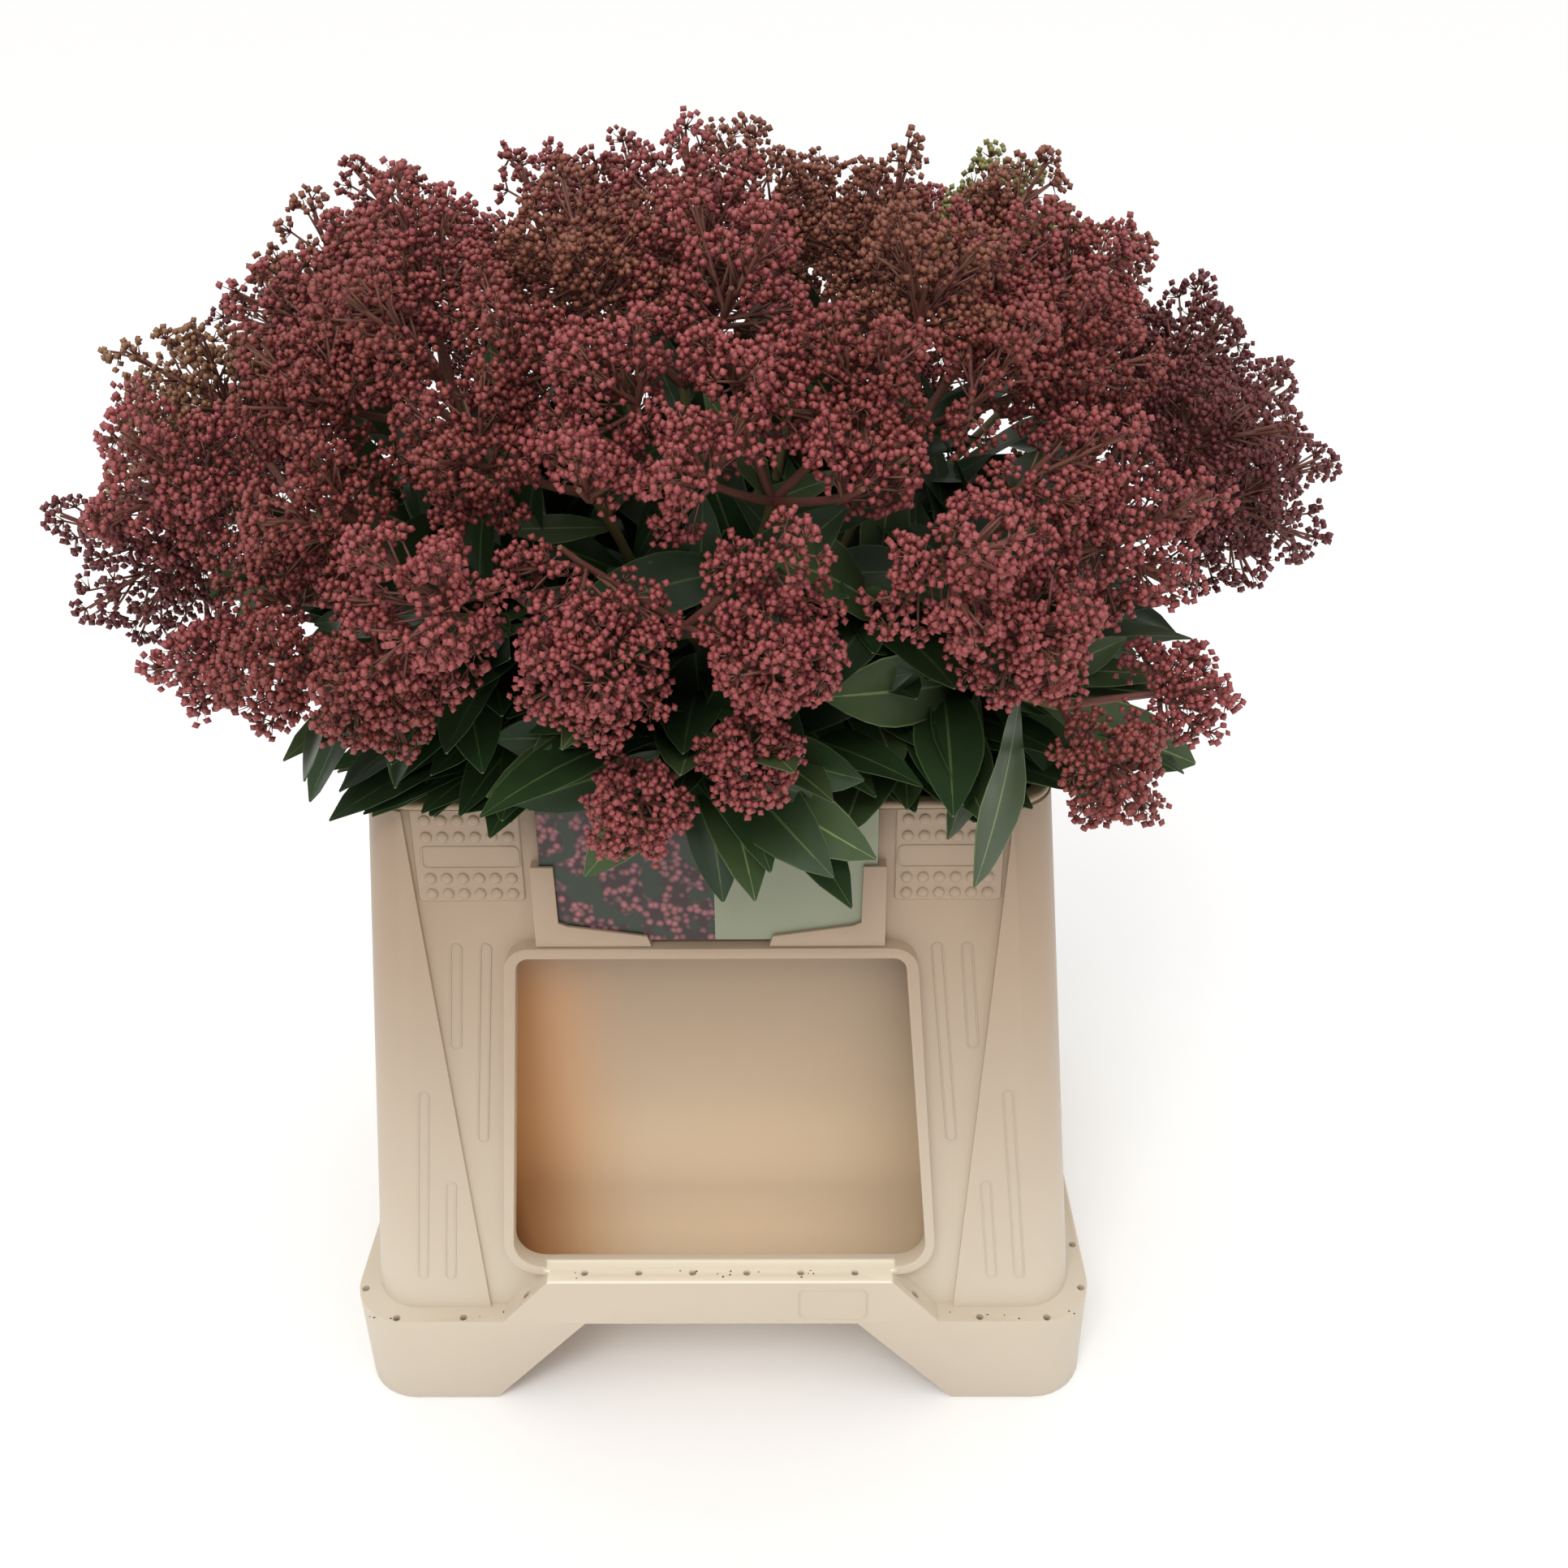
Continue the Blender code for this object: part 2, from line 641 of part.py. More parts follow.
def leaf_blades(shoot, others, bellies):
    """Leaves in a loose whorl below the heads, turned by the golden angle each time."""
    ring = shoot.ring
    solids = []
    for k in range(ring.leaves):
        t = FORK_AT - LEAF_SPAN * k / ring.leaves
        point = bezier(shoot.curve, t)
        direction = (bezier(shoot.curve, t + 0.02) - point).normalized()
        across, up = side_axes(direction)
        turn = GOLDEN_ANGLE * k + math.pi * wobble(shoot.key, 9)
        for attempt in range(5):
            angle = turn + attempt * LEAF_TURN_STEP
            sideways = math.cos(angle) * across + math.sin(angle) * up
            lean = math.radians(ring.leaf_lean + 12.0 * wobble(shoot.key, 10, k))
            aim = math.cos(lean) * direction + math.sin(lean) * sideways
            grown = 1.0 + 0.18 * wobble(shoot.key, 11, k)
            length = ring.leaf_length * grown * (1.0 - 0.07 * attempt)
            root = point - aim * RACHIS_RADIUS * 0.6
            solid = leaf(root, root + aim * length, direction, LEAF_WIDTH * length)
            if (clears_own_stem(shoot, solid) and clears_bellies(solid, bellies)
                    and keeps_to_space(shoot, others, solid)):
                solids.append(solid)
                break
    return solids


def largest_island(item):
    """Keep the outer skin: loose scraps are dropped and sealed hollows filled."""
    mesh = bmesh.new()
    mesh.from_mesh(item.data)
    bmesh.ops.triangulate(mesh, faces=mesh.faces)
    unseen = set(mesh.faces)
    islands = []
    while unseen:
        stack = [unseen.pop()]
        island = list(stack)
        while stack:
            for edge in stack.pop().edges:
                for face in edge.link_faces:
                    if face in unseen and len(edge.link_faces) == 2:
                        unseen.remove(face)
                        stack.append(face)
                        island.append(face)
        islands.append(island)
    islands.sort(key=len, reverse=True)
    for island in islands[1:]:
        bmesh.ops.delete(mesh, geom=island, context="FACES")
    closed = all(len(edge.link_faces) == 2 for edge in mesh.edges)
    mesh.to_mesh(item.data)
    mesh.free()
    return closed


def union_of(name, solids, material):
    """Join the solids to one closed body by a Boolean on a collection."""
    for solver in ("EXACT", "MANIFOLD"):
        group = bpy.data.collections.new(name + "_pieces")
        bpy.context.scene.collection.children.link(group)
        for number, (vertices, faces) in enumerate(solids[1:]):
            piece = make_object(f"{name}_piece_{number}", vertices, faces)
            bpy.context.scene.collection.objects.unlink(piece)
            group.objects.link(piece)
        item = make_object(name, *solids[0], material)
        modifier = item.modifiers.new("union", "BOOLEAN")
        modifier.operation = "UNION"
        modifier.operand_type = "COLLECTION"
        modifier.collection = group
        modifier.solver = solver
        graph = bpy.context.evaluated_depsgraph_get()
        joined = bpy.data.meshes.new_from_object(item.evaluated_get(graph))
        item.modifiers.clear()
        item.data = joined
        for piece in list(group.objects):
            bpy.data.objects.remove(piece, do_unlink=True)
        bpy.data.collections.remove(group)
        if largest_island(item) or solver == "MANIFOLD":
            break
        bpy.data.objects.remove(item, do_unlink=True)
    item.data.materials.clear()
    item.data.materials.append(material)
    return item


def make_stem(shoot, material):
    """Tapering limb from the tub's floor to the rim, with a slight bow."""
    bow = STEM_BOW * wobble(shoot.key, 12)
    path = []
    radii = []
    for t in (0.0, 0.45, 0.9, 1.0):
        bend = 4 * bow * t * (1 - t) * (1 - t)
        path.append(shoot.foot.lerp(shoot.neck, t) + Vector((bend, -bend, 0.0)))
        radii.append(STEM_FOOT_RADIUS + (STEM_TIP_RADIUS - STEM_FOOT_RADIUS) * t)
    directions = [Vector((0.0, 0.0, 1.0)), shoot.rise, shoot.rise, shoot.rise]
    solid = tube(path, directions, radii, STEM_SIDES)
    stem = make_object("stem_" + shoot.name, *solid, material)
    shade(stem, 80.0)
    return stem


def make_spray(shoot, others, material):
    steps = [FORK_AT * k / 4 for k in range(5)]
    path = [bezier(shoot.curve, t) for t in steps]
    radii = [RACHIS_RADIUS + (FORK_RADIUS - RACHIS_RADIUS) * k / 4 for k in range(5)]
    directions = path_directions(path)
    directions[0] = shoot.rise
    solids = [tube(path, directions, radii, 3)]
    for base, direction in shoot.heads:
        begin = shoot.fork - (base - shoot.fork).normalized() * FORK_RADIUS
        end = base + direction * TWIG_RADIUS
        stalk = [begin, end]
        solids.append(tube(stalk, path_directions(stalk), [FORK_RADIUS, TWIG_RADIUS], 3))
    clusters, bellies = head_clusters(shoot, others)
    solids += clusters
    solids += leaf_blades(shoot, others, bellies)
    return union_of("spray_" + shoot.name, solids, material)


def centre_on_box():
    """Move everything so that the origin is under the middle of the whole part."""
    graph = bpy.context.evaluated_depsgraph_get()
    corners = []
    for item in bpy.data.objects:
        if item.type == "MESH" and not item.hide_render:
            mesh = item.evaluated_get(graph).to_mesh()
            corners += [item.matrix_world @ vertex.co for vertex in mesh.vertices]
    corners = np.array([tuple(corner) for corner in corners])
    middle = (corners.min(axis=0) + corners.max(axis=0)) / 2
    shift = Matrix.Translation((-middle[0], -middle[1], 0.0))
    for item in bpy.data.objects:
        item.data.transform(shift)


def main():
    clear_scene()
    plastic = make_material("cream_plastic", PLASTIC, 0.42)
    card = make_material("card_green", CARD_GREEN, 0.6)
    bark = make_material("stem_bark", BARK, 0.7)
    make_sleeve(plastic)
    make_tub(plastic)
    make_card(card)
    shoots = []
    for ring_index, (ring_name, ring) in enumerate(RINGS.items()):
        for number in range(ring.shoots):
            shoots.append(Shoot(ring_name, ring_index, number))
    colours = {name: make_material("spray_" + name, ring.colour, 0.5) for name, ring in RINGS.items()}
    for shoot in shoots:
        others = [other for other in shoots if other is not shoot]
        make_stem(shoot, bark)
        make_spray(shoot, others, colours[shoot.ring_name])
    centre_on_box()


main()
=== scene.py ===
"""Looks for a bucket of cut skimmia shoots, made round the fixed frame of its solid part.

Each class makes one sub-assembly: the bucket's sleeve and tub, the label card, the stems,
and the crown of heads, twigs and leaves. Sizes are metres, +Z is up, and the viewer
stands at -Y. Pieces are shaped about the bucket's upright axis and moved to it at the end.
"""
import logging
import math
from collections.abc import Callable, Iterator
from dataclasses import dataclass, field, replace
from enum import Enum

import bpy
import numpy as np
from mathutils import Matrix, Vector


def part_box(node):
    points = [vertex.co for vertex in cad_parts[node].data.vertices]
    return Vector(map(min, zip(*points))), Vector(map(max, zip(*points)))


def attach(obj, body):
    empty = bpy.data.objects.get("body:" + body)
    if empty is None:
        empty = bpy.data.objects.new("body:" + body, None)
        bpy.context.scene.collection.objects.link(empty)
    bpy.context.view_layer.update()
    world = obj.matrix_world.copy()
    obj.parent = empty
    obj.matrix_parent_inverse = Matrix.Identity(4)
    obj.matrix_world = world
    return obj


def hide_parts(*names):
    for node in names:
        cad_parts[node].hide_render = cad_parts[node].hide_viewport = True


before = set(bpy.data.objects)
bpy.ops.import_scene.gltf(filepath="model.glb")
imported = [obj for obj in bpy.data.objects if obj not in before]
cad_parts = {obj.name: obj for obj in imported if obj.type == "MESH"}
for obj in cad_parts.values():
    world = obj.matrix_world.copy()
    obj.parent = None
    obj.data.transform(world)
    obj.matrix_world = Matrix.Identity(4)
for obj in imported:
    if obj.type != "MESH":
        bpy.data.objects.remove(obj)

LOG = logging.getLogger("skimmia")
GOLDEN_ANGLE = math.radians(137.508)
UPRIGHT = np.array((0.0, 0.0, 1.0))
LEVEL = np.array((1.0, 1.0, 0.0))


def bucket_axis() -> np.ndarray:
    """Place of the bucket's upright axis on the floor, from the fixed frame."""
    low, high = (np.array(corner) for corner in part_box("bucket_sleeve"))
    middle = (low + high) / 2
    return np.array((middle[0], middle[1], 0.0))


AXIS = bucket_axis()


# Small tools for arrays of points


def unit(vectors: np.ndarray) -> np.ndarray:
    """Vectors of length one along the last axis."""
    return vectors / np.maximum(np.linalg.norm(vectors, axis=-1, keepdims=True), 1e-12)


def side_axes(direction: np.ndarray) -> tuple[np.ndarray, np.ndarray]:
    """Two directions square to each given one.

    Args:
        direction: one or more directions of length one.

    Returns:
        The direction across and the direction up, for each.
    """
    steep = np.abs(direction[..., 2:3]) >= 0.9
    helper = np.where(steep, np.array((1.0, 0.0, 0.0)), UPRIGHT)
    across = unit(np.cross(direction, helper))
    return across, unit(np.cross(across, direction))


def wheel(across: np.ndarray, up: np.ndarray, sides: int, turn: float = 0.0) -> np.ndarray:
    """Spokes of length one: cos(a) * across + sin(a) * up with a = turn - 2 pi k / sides.

    Args:
        across: one or more directions.
        up: as many directions, square to the first.
        sides: number of spokes for each pair.
        turn: angle of the first spoke.

    Returns:
        The spokes, in one more dimension before the last.
    """
    angle = (turn - 2 * math.pi * np.arange(sides) / sides)[:, None]
    return np.cos(angle) * across[..., None, :] + np.sin(angle) * up[..., None, :]


def wobble(*keys: int) -> float:
    """Repeatable number between -1 and 1: the sine of the keys' weighted sum, made coarse."""
    weights = (12.9898, 78.233, 37.719, 9.131)
    value = math.sin(sum((key + 1) * weight for key, weight in zip(keys, weights))) * 43758.5453
    return 2.0 * (value - math.floor(value)) - 1.0


def bezier(points: tuple, t: float | np.ndarray) -> np.ndarray:
    """Point or points on a cubic curve: a*s^3 + 3b*s^2*t + 3c*s*t^2 + d*t^3 with s = 1 - t.

    Args:
        points: a, b, c and d.
        t: share or shares of the way along.

    Returns:
        One point, or one row for each share.
    """
    a, b, c, d = points
    t = np.asarray(t, dtype=float)[..., None]
    s = 1.0 - t
    return a * s**3 + b * (3 * s * s * t) + c * (3 * s * t * t) + d * t**3


def ring_quads(rings: int, sides: int, closed: bool = False) -> np.ndarray:
    """Faces between successive rings of points, each ring closed on itself.

    Args:
        rings: number of rings.
        sides: number of points in each.
        closed: whether the last ring also meets the first.

    Returns:
        Rows of four indices.
    """
    gaps = rings if closed else rings - 1
    row, column = np.meshgrid(np.arange(gaps), np.arange(sides), indexing="ij")
    above, beside = (row + 1) % rings, (column + 1) % sides
    corners = ((row, column), (row, beside), (above, beside), (above, column))
    return np.stack([(r * sides + c).ravel() for r, c in corners], axis=1)


@dataclass
class Shell:
    """Points and faces gathered from many small arrays and made into one mesh at the end."""

    points: list = field(default_factory=list)
    corners: list = field(default_factory=list)
    sizes: list = field(default_factory=list)
    uvs: list = field(default_factory=list)
    slots: list = field(default_factory=list)
    count: int = 0

    def add(self, points: np.ndarray, *faces: np.ndarray, uv: np.ndarray | None = None,
            material: int = 0) -> None:
        """Put in one array of points and the faces over them.

        Args:
            points: N rows of x, y, z.
            faces: arrays of indices into points; the faces of one array have as many sides.
            uv: N rows of u, v, one for each point, or None for zeros.
            material: index of the material slot for these faces.
        """
        points = np.asarray(points, dtype=float).reshape(-1, 3)
        uv = np.zeros((len(points), 2)) if uv is None else np.asarray(uv, dtype=float)
        for rows in faces:
            self.corners.append((rows + self.count).ravel())
            self.sizes.append(np.full(len(rows), rows.shape[1]))
            self.uvs.append(uv[rows.ravel()])
            self.slots.append(np.full(len(rows), material))
        self.points.append(points)
        self.count += len(points)

    def add_closed(self, rings: list[np.ndarray]) -> None:
        """Put in a skin over successive rings of points, with a flat cap at each end.

        Args:
            rings: rows of x, y, z for each ring, with as many rows in each.
        """
        around = np.arange(len(rings[0]))[None, :]
        self.add(np.vstack(rings), ring_quads(len(rings), len(rings[0])))
        self.add(rings[0], around[:, ::-1])
        self.add(rings[-1], around)

    def add_many(self, template: np.ndarray, faces: np.ndarray, places: np.ndarray,
                 frames: np.ndarray, scales: np.ndarray) -> None:
        """Put in one copy of a template at each place.

        Each copy's points are place + scale * (x*across + y*up + z*along), where the frame's
        rows are across, up and along.

        Args:
            template: T rows of x, y, z.
            faces: M rows of indices into the template.
            places: N rows of x, y, z.
            frames: N matrices of three rows.
            scales: N rows of three scales.
        """
        scaled = template[None, :, :] * scales[:, None, :]
        points = places[:, None, :] + np.einsum("ntk,nkx->ntx", scaled, frames)
        starts = np.arange(len(places))[:, None, None] * len(template)
        self.add(points, (faces[None, :, :] + starts).reshape(-1, faces.shape[1]))

    def build(self, name: str, materials: list, smooth: bool = True) -> bpy.types.Object:
        """Make the mesh and its object.

        Args:
            name: name of the object.
            materials: its material slots, in order.
            smooth: whether its faces are shaded smooth.

        Returns:
            The new object, linked to the scene, at the origin.
        """
        mesh = bpy.data.meshes.new(name)
        points, corners = np.vstack(self.points), np.concatenate(self.corners)
        sizes = np.concatenate(self.sizes)
        mesh.vertices.add(len(points))
        mesh.vertices.foreach_set("co", points.ravel())
        mesh.loops.add(len(corners))
        mesh.loops.foreach_set("vertex_index", corners)
        mesh.polygons.add(len(sizes))
        mesh.polygons.foreach_set("loop_start", np.concatenate(([0], np.cumsum(sizes)[:-1])))
        mesh.polygons.foreach_set("material_index", np.concatenate(self.slots))
        mesh.polygons.foreach_set("use_smooth", np.full(len(sizes), smooth))
        mesh.uv_layers.new(name="UVMap").data.foreach_set("uv", np.vstack(self.uvs).ravel())
        mesh.update(calc_edges=True)
        for material in materials:
            mesh.materials.append(material)
        item = bpy.data.objects.new(name, mesh)
        bpy.context.scene.collection.objects.link(item)
        LOG.info("%s: %d triangles", name, int((sizes - 2).sum()))
        return item


def limb(shell: Shell, path: np.ndarray, radii: np.ndarray, sides: int, relief: float = 0.0) -> None:
    """Round limb along a path, closed at both ends.

    The radius at ring k and side j is radii[k] * (1 + relief * sin(5.1k + 2.3j) * sin(1.7k)).

    Args:
        shell: where the limb is put.
        path: rows of x, y, z.
        radii: one radius for each row.
        sides: number of sides.
        relief: share of the radius by which the bark goes in and out.
    """
    along = unit(np.gradient(path, axis=0))
    across = side_axes(along[0])[0]
    rings = []
    for k, point in enumerate(path):
        across = unit(across - along[k] * (across @ along[k]))
        ripple = 1.0 + relief * np.sin(5.1 * k + 2.3 * np.arange(sides)) * math.sin(1.7 * k)
        spokes = wheel(across, np.cross(across, along[k]), sides)
        rings.append(point + spokes * (radii[k] * ripple)[:, None])
    shell.add_closed(rings)


def straight_twigs(shell: Shell, starts: np.ndarray, ends: np.ndarray, radius_start: float,
                   radius_end: float) -> None:
    """Many straight three-sided twigs, closed at both ends.

    Args:
        shell: where the twigs are put.
        starts: N rows of x, y, z.
        ends: N rows of x, y, z.
        radius_start: radius of every twig where it starts.
        radius_end: radius of every twig where it ends.
    """
    spokes = wheel(*side_axes(unit(ends - starts)), 3)
    low, high = starts[:, None] + radius_start * spokes, ends[:, None] + radius_end * spokes
    first = np.arange(len(starts))[:, None, None] * 6
    quads = np.array(((0, 1, 4, 3), (1, 2, 5, 4), (2, 0, 3, 5)))
    caps = np.array(((2, 1, 0), (3, 4, 5)))
    shell.add(np.concatenate((low, high), axis=1), (quads + first).reshape(-1, 4),
              (caps + first).reshape(-1, 3))


def spikes(shell: Shell, starts: np.ndarray, ends: np.ndarray, radius: float) -> None:
    """Many three-sided stalks that run to a point, each closed by four faces.

    Args:
        shell: where the stalks are put.
        starts: N rows of x, y, z.
        ends: N rows of x, y, z, the points.
        radius: radius of every stalk at its foot.
    """
    foot = starts[:, None] + radius * wheel(*side_axes(unit(ends - starts)), 3)
    faces = np.array(((0, 1, 3), (1, 2, 3), (2, 0, 3), (2, 1, 0)))
    first = np.arange(len(starts))[:, None, None] * 4
    shell.add(np.concatenate((foot, ends[:, None]), axis=1), (faces + first).reshape(-1, 3))


# Finishes


class Wiring:
    """One node tree, with short ways to put in nodes and join them."""

    def __init__(self, tree: bpy.types.NodeTree) -> None:
        """Take up the tree."""
        self.tree = tree

    def add(self, kind: str, inputs: dict | None = None, **options: object) -> bpy.types.Node:
        """Put in a node.

        Args:
            kind: the node's type.
            inputs: for each input's name or number, the socket to join or the value to set.
            options: the node's own options.

        Returns:
            The new node.
        """
        node = self.tree.nodes.new(kind)
        for option, value in options.items():
            setattr(node, option, value)
        for socket, value in (inputs or {}).items():
            if isinstance(value, bpy.types.NodeSocket):
                self.tree.links.new(value, node.inputs[socket])
            else:
                node.inputs[socket].default_value = value
        return node

    def feed(self, socket: str, value: bpy.types.NodeSocket, shader: str = "Principled BSDF") -> None:
        """Join a value to an input of the shader."""
        self.tree.links.new(value, self.tree.nodes[shader].inputs[socket])

    def mix(self, factor: bpy.types.NodeSocket, first: bpy.types.NodeSocket | tuple,
            second: bpy.types.NodeSocket | tuple) -> bpy.types.NodeSocket:
        """Colour that goes from the first to the second as the factor goes from 0 to 1."""
        inputs = {"Factor": factor, "A": first, "B": second}
        return self.add("ShaderNodeMix", inputs, data_type="RGBA").outputs["Result"]

    def math(self, operation: str, *values: bpy.types.NodeSocket | float) -> bpy.types.NodeSocket:
        """Result of one sum over one or two values."""
        return self.add("ShaderNodeMath", dict(enumerate(values)), operation=operation).outputs["Value"]

    def ramp(self, value: bpy.types.NodeSocket, start: float, end: float,
             kind: str = "LINEAR") -> bpy.types.NodeSocket:
        """Mask that goes from 0 to 1 as the value goes from start to end."""
        inputs = {"Value": value, "From Min": start, "From Max": end}
        return self.add("ShaderNodeMapRange", inputs, interpolation_type=kind).outputs["Result"]

    def parts(self, source: str) -> bpy.types.NodeOutputs:
        """The X, Y and Z of one of the texture coordinates."""
        place = self.add("ShaderNodeTexCoord").outputs[source]
        return self.add("ShaderNodeSeparateXYZ", {"Vector": place}).outputs


def mottle_group() -> bpy.types.NodeTree:
    """Group that strays from a base colour to a second one in soft patches and fine grain.

    Returns:
        The group, with a colour and a height as its outputs.
    """
    group = bpy.data.node_groups.new("mottle", "ShaderNodeTree")
    inputs = {"Base": "NodeSocketColor", "Other": "NodeSocketColor", "Scale": "NodeSocketFloat",
              "Amount": "NodeSocketFloat"}
    for name, kind in inputs.items():
        group.interface.new_socket(name=name, in_out="INPUT", socket_type=kind)
    for name, kind in {"Color": "NodeSocketColor", "Height": "NodeSocketFloat"}.items():
        group.interface.new_socket(name=name, in_out="OUTPUT", socket_type=kind)
    wiring = Wiring(group)
    entry = wiring.add("NodeGroupInput").outputs
    place = wiring.add("ShaderNodeTexCoord").outputs["Object"]
    grain = wiring.add("ShaderNodeTexNoise", {"Vector": place, "Scale": entry["Scale"], "Detail": 4.0})
    patches = wiring.ramp(grain.outputs["Fac"], 0.35, 0.70)
    share = wiring.math("MULTIPLY", patches, entry["Amount"])
    colour = wiring.mix(share, entry["Base"], entry["Other"])
    wiring.add("NodeGroupOutput", {"Color": colour, "Height": grain.outputs["Fac"]})
    return group


GLOW_REACH = (0.012, 0.006, 0.003)
GLOW_SCALE = 0.6
GRAIN_DEPTH = 0.0006


@dataclass(frozen=True)
class Finish:
    """A surface: its base colour, the colour it strays to, and how it shines."""

    name: str
    base: tuple
    other: tuple
    scale: float
    amount: float
    roughness: float
    bump: float = 0.0
    glow_through: float = 0.0
    shine: float = 0.5

    def material(self, group: bpy.types.NodeTree) -> bpy.types.Material:
        """Make the node material, with the mottle group on its colour and relief.

        Args:
            group: the mottle group.

        Returns:
            The new material, whose group node is named mottle.
        """
        material = bpy.data.materials.new(self.name)
        material.use_nodes = True
        wiring = Wiring(material.node_tree)
        shader = material.node_tree.nodes["Principled BSDF"]
        shader.inputs["Roughness"].default_value = self.roughness
        shader.inputs["Specular IOR Level"].default_value = self.shine
        shader.inputs["Subsurface Weight"].default_value = self.glow_through
        shader.inputs["Subsurface Radius"].default_value = GLOW_REACH
        shader.inputs["Subsurface Scale"].default_value = GLOW_SCALE
        values = {"Base": (*self.base, 1.0), "Other": (*self.other, 1.0), "Scale": self.scale,
                  "Amount": self.amount}
        mottle = wiring.add("ShaderNodeGroup", node_tree=group, name="mottle")
        for socket, value in values.items():
            mottle.inputs[socket].default_value = value
        wiring.feed("Base Color", mottle.outputs["Color"])
        if self.bump > 0.0:
            relief = {"Strength": self.bump, "Distance": GRAIN_DEPTH, "Height": mottle.outputs["Height"]}
            wiring.feed("Normal", wiring.add("ShaderNodeBump", relief).outputs["Normal"])
        return material


def leaf_material(finish: Finish, group: bpy.types.NodeTree, rib: tuple) -> bpy.types.Material:
    """Leaf skin with a paler midrib and a thin paler edge over the mottled colour.

    Args:
        finish: the skin's colours and shine.
        group: the mottle group.
        rib: colour of the midrib and edge.

    Returns:
        The finished material.
    """
    material = finish.material(group)
    wiring = Wiring(material.node_tree)
    offset = wiring.math("ABSOLUTE", wiring.math("SUBTRACT", wiring.parts("UV")["X"], 0.5))
    colour = material.node_tree.nodes["mottle"].outputs["Color"]
    for start, end in ((0.030, 0.008), (0.470, 0.500)):
        colour = wiring.mix(wiring.ramp(offset, start, end), colour, (*rib, 1.0))
    wiring.feed("Base Color", colour)
    return material


@dataclass(frozen=True)
class PaintedLight:
    """Painted light or shade: a tint that comes in where all its windows of (axis, start, end) are past."""

    tint: tuple
    windows: tuple


def light_painted_material(finish: Finish, group: bpy.types.NodeTree, light_and_shade: tuple) -> bpy.types.Material:
    """Plastic whose colour shifts by place, with light and shade painted into it.

    Each painted tone mixes in its tint by the product, over its windows, of smoothstep(start, end, place).

    Args:
        finish: the plastic's colours and shine.
        group: the mottle group.
        light_and_shade: the painted light and shade tints, in the order in which they are laid.

    Returns:
        The finished material.
    """
    material = finish.material(group)
    wiring = Wiring(material.node_tree)
    parts = wiring.parts("Object")
    colour = material.node_tree.nodes["mottle"].outputs["Color"]
    for painted_tone in light_and_shade:
        mask = 1.0
        for axis, start, end in painted_tone.windows:
            mask = wiring.math("MULTIPLY", wiring.ramp(parts[axis], start, end, "SMOOTHSTEP"), mask)
        colour = wiring.mix(mask, colour, (*painted_tone.tint, 1.0))
    wiring.feed("Base Color", colour)
    return material


class Tint(Enum):
    """Colours of the heads' buds."""

    ROSE = "rose"
    BRICK = "brick"
    WINE = "wine"
    RUSSET = "russet"
    OLIVE = "olive"
    GREEN = "green"


def bud_finish(tint: Tint, base: tuple, other: tuple) -> Finish:
    """Waxy skin of the buds of one tint."""
    return Finish(f"bud_{tint.value}", base, other, 260.0, 0.7, 0.36, shine=0.4)


BUD_FINISHES = {
    Tint.ROSE: bud_finish(Tint.ROSE, (0.335, 0.080, 0.078), (0.225, 0.047, 0.046)),
    Tint.BRICK: bud_finish(Tint.BRICK, (0.265, 0.060, 0.052), (0.175, 0.038, 0.033)),
    Tint.WINE: bud_finish(Tint.WINE, (0.150, 0.032, 0.034), (0.095, 0.021, 0.023)),
    Tint.RUSSET: bud_finish(Tint.RUSSET, (0.255, 0.086, 0.053), (0.18, 0.063, 0.038)),
    Tint.OLIVE: bud_finish(Tint.OLIVE, (0.25, 0.135, 0.062), (0.26, 0.085, 0.052)),
    Tint.GREEN: bud_finish(Tint.GREEN, (0.25, 0.24, 0.070), (0.20, 0.15, 0.060)),
}
TWIG = Finish("twig", (0.20, 0.062, 0.050), (0.17, 0.10, 0.050), 120.0, 0.6, 0.6, 0.2)
BARK = Finish("bark", (0.19, 0.18, 0.070), (0.24, 0.13, 0.065), 90.0, 0.7, 0.6, 0.5)
LEAF_TOP = Finish("leaf_top", (0.020, 0.042, 0.016), (0.034, 0.066, 0.022), 40.0, 0.6, 0.28, 0.15,
                  shine=0.36)
LEAF_YOUNG = Finish("leaf_young", (0.050, 0.080, 0.030), (0.070, 0.105, 0.038), 40.0, 0.6, 0.34,
                    0.15, shine=0.32)
LEAF_UNDER = Finish("leaf_under", (0.080, 0.125, 0.052), (0.060, 0.098, 0.036), 60.0, 0.5, 0.55,
                    0.1, shine=0.25)
LEAF_RIB = (0.095, 0.145, 0.052)
LEAF_RIB_YOUNG = (0.20, 0.27, 0.11)
FLOOR = Finish("floor", (0.97, 0.97, 0.97), (0.96, 0.96, 0.96), 3.0, 0.3, 0.9)
CARD_BACK = Finish("card", (0.27, 0.285, 0.19), (0.25, 0.265, 0.175), 30.0, 0.3, 0.45)
GRIT = Finish("grit", (0.12, 0.07, 0.04), (0.06, 0.04, 0.025), 400.0, 0.8, 0.8)
PLASTIC = Finish("cream_plastic", (0.630, 0.545, 0.430), (0.60, 0.505, 0.385), 14.0, 0.5, 0.36,
                 0.05, glow_through=0.10)
TUB_PLASTIC = Finish("tub_plastic", (0.62, 0.47, 0.315), (0.57, 0.40, 0.25), 9.0, 0.6, 0.42, 0.05,
                     glow_through=0.10)
# Painted shade: the sleeve grows darker and warmer towards its top, standing in for the crown's shade and
# its reddish bounce light.
SLEEVE_PAINTED_SHADE = PaintedLight((0.405, 0.290, 0.200), (("Z", 0.045, 0.275),))
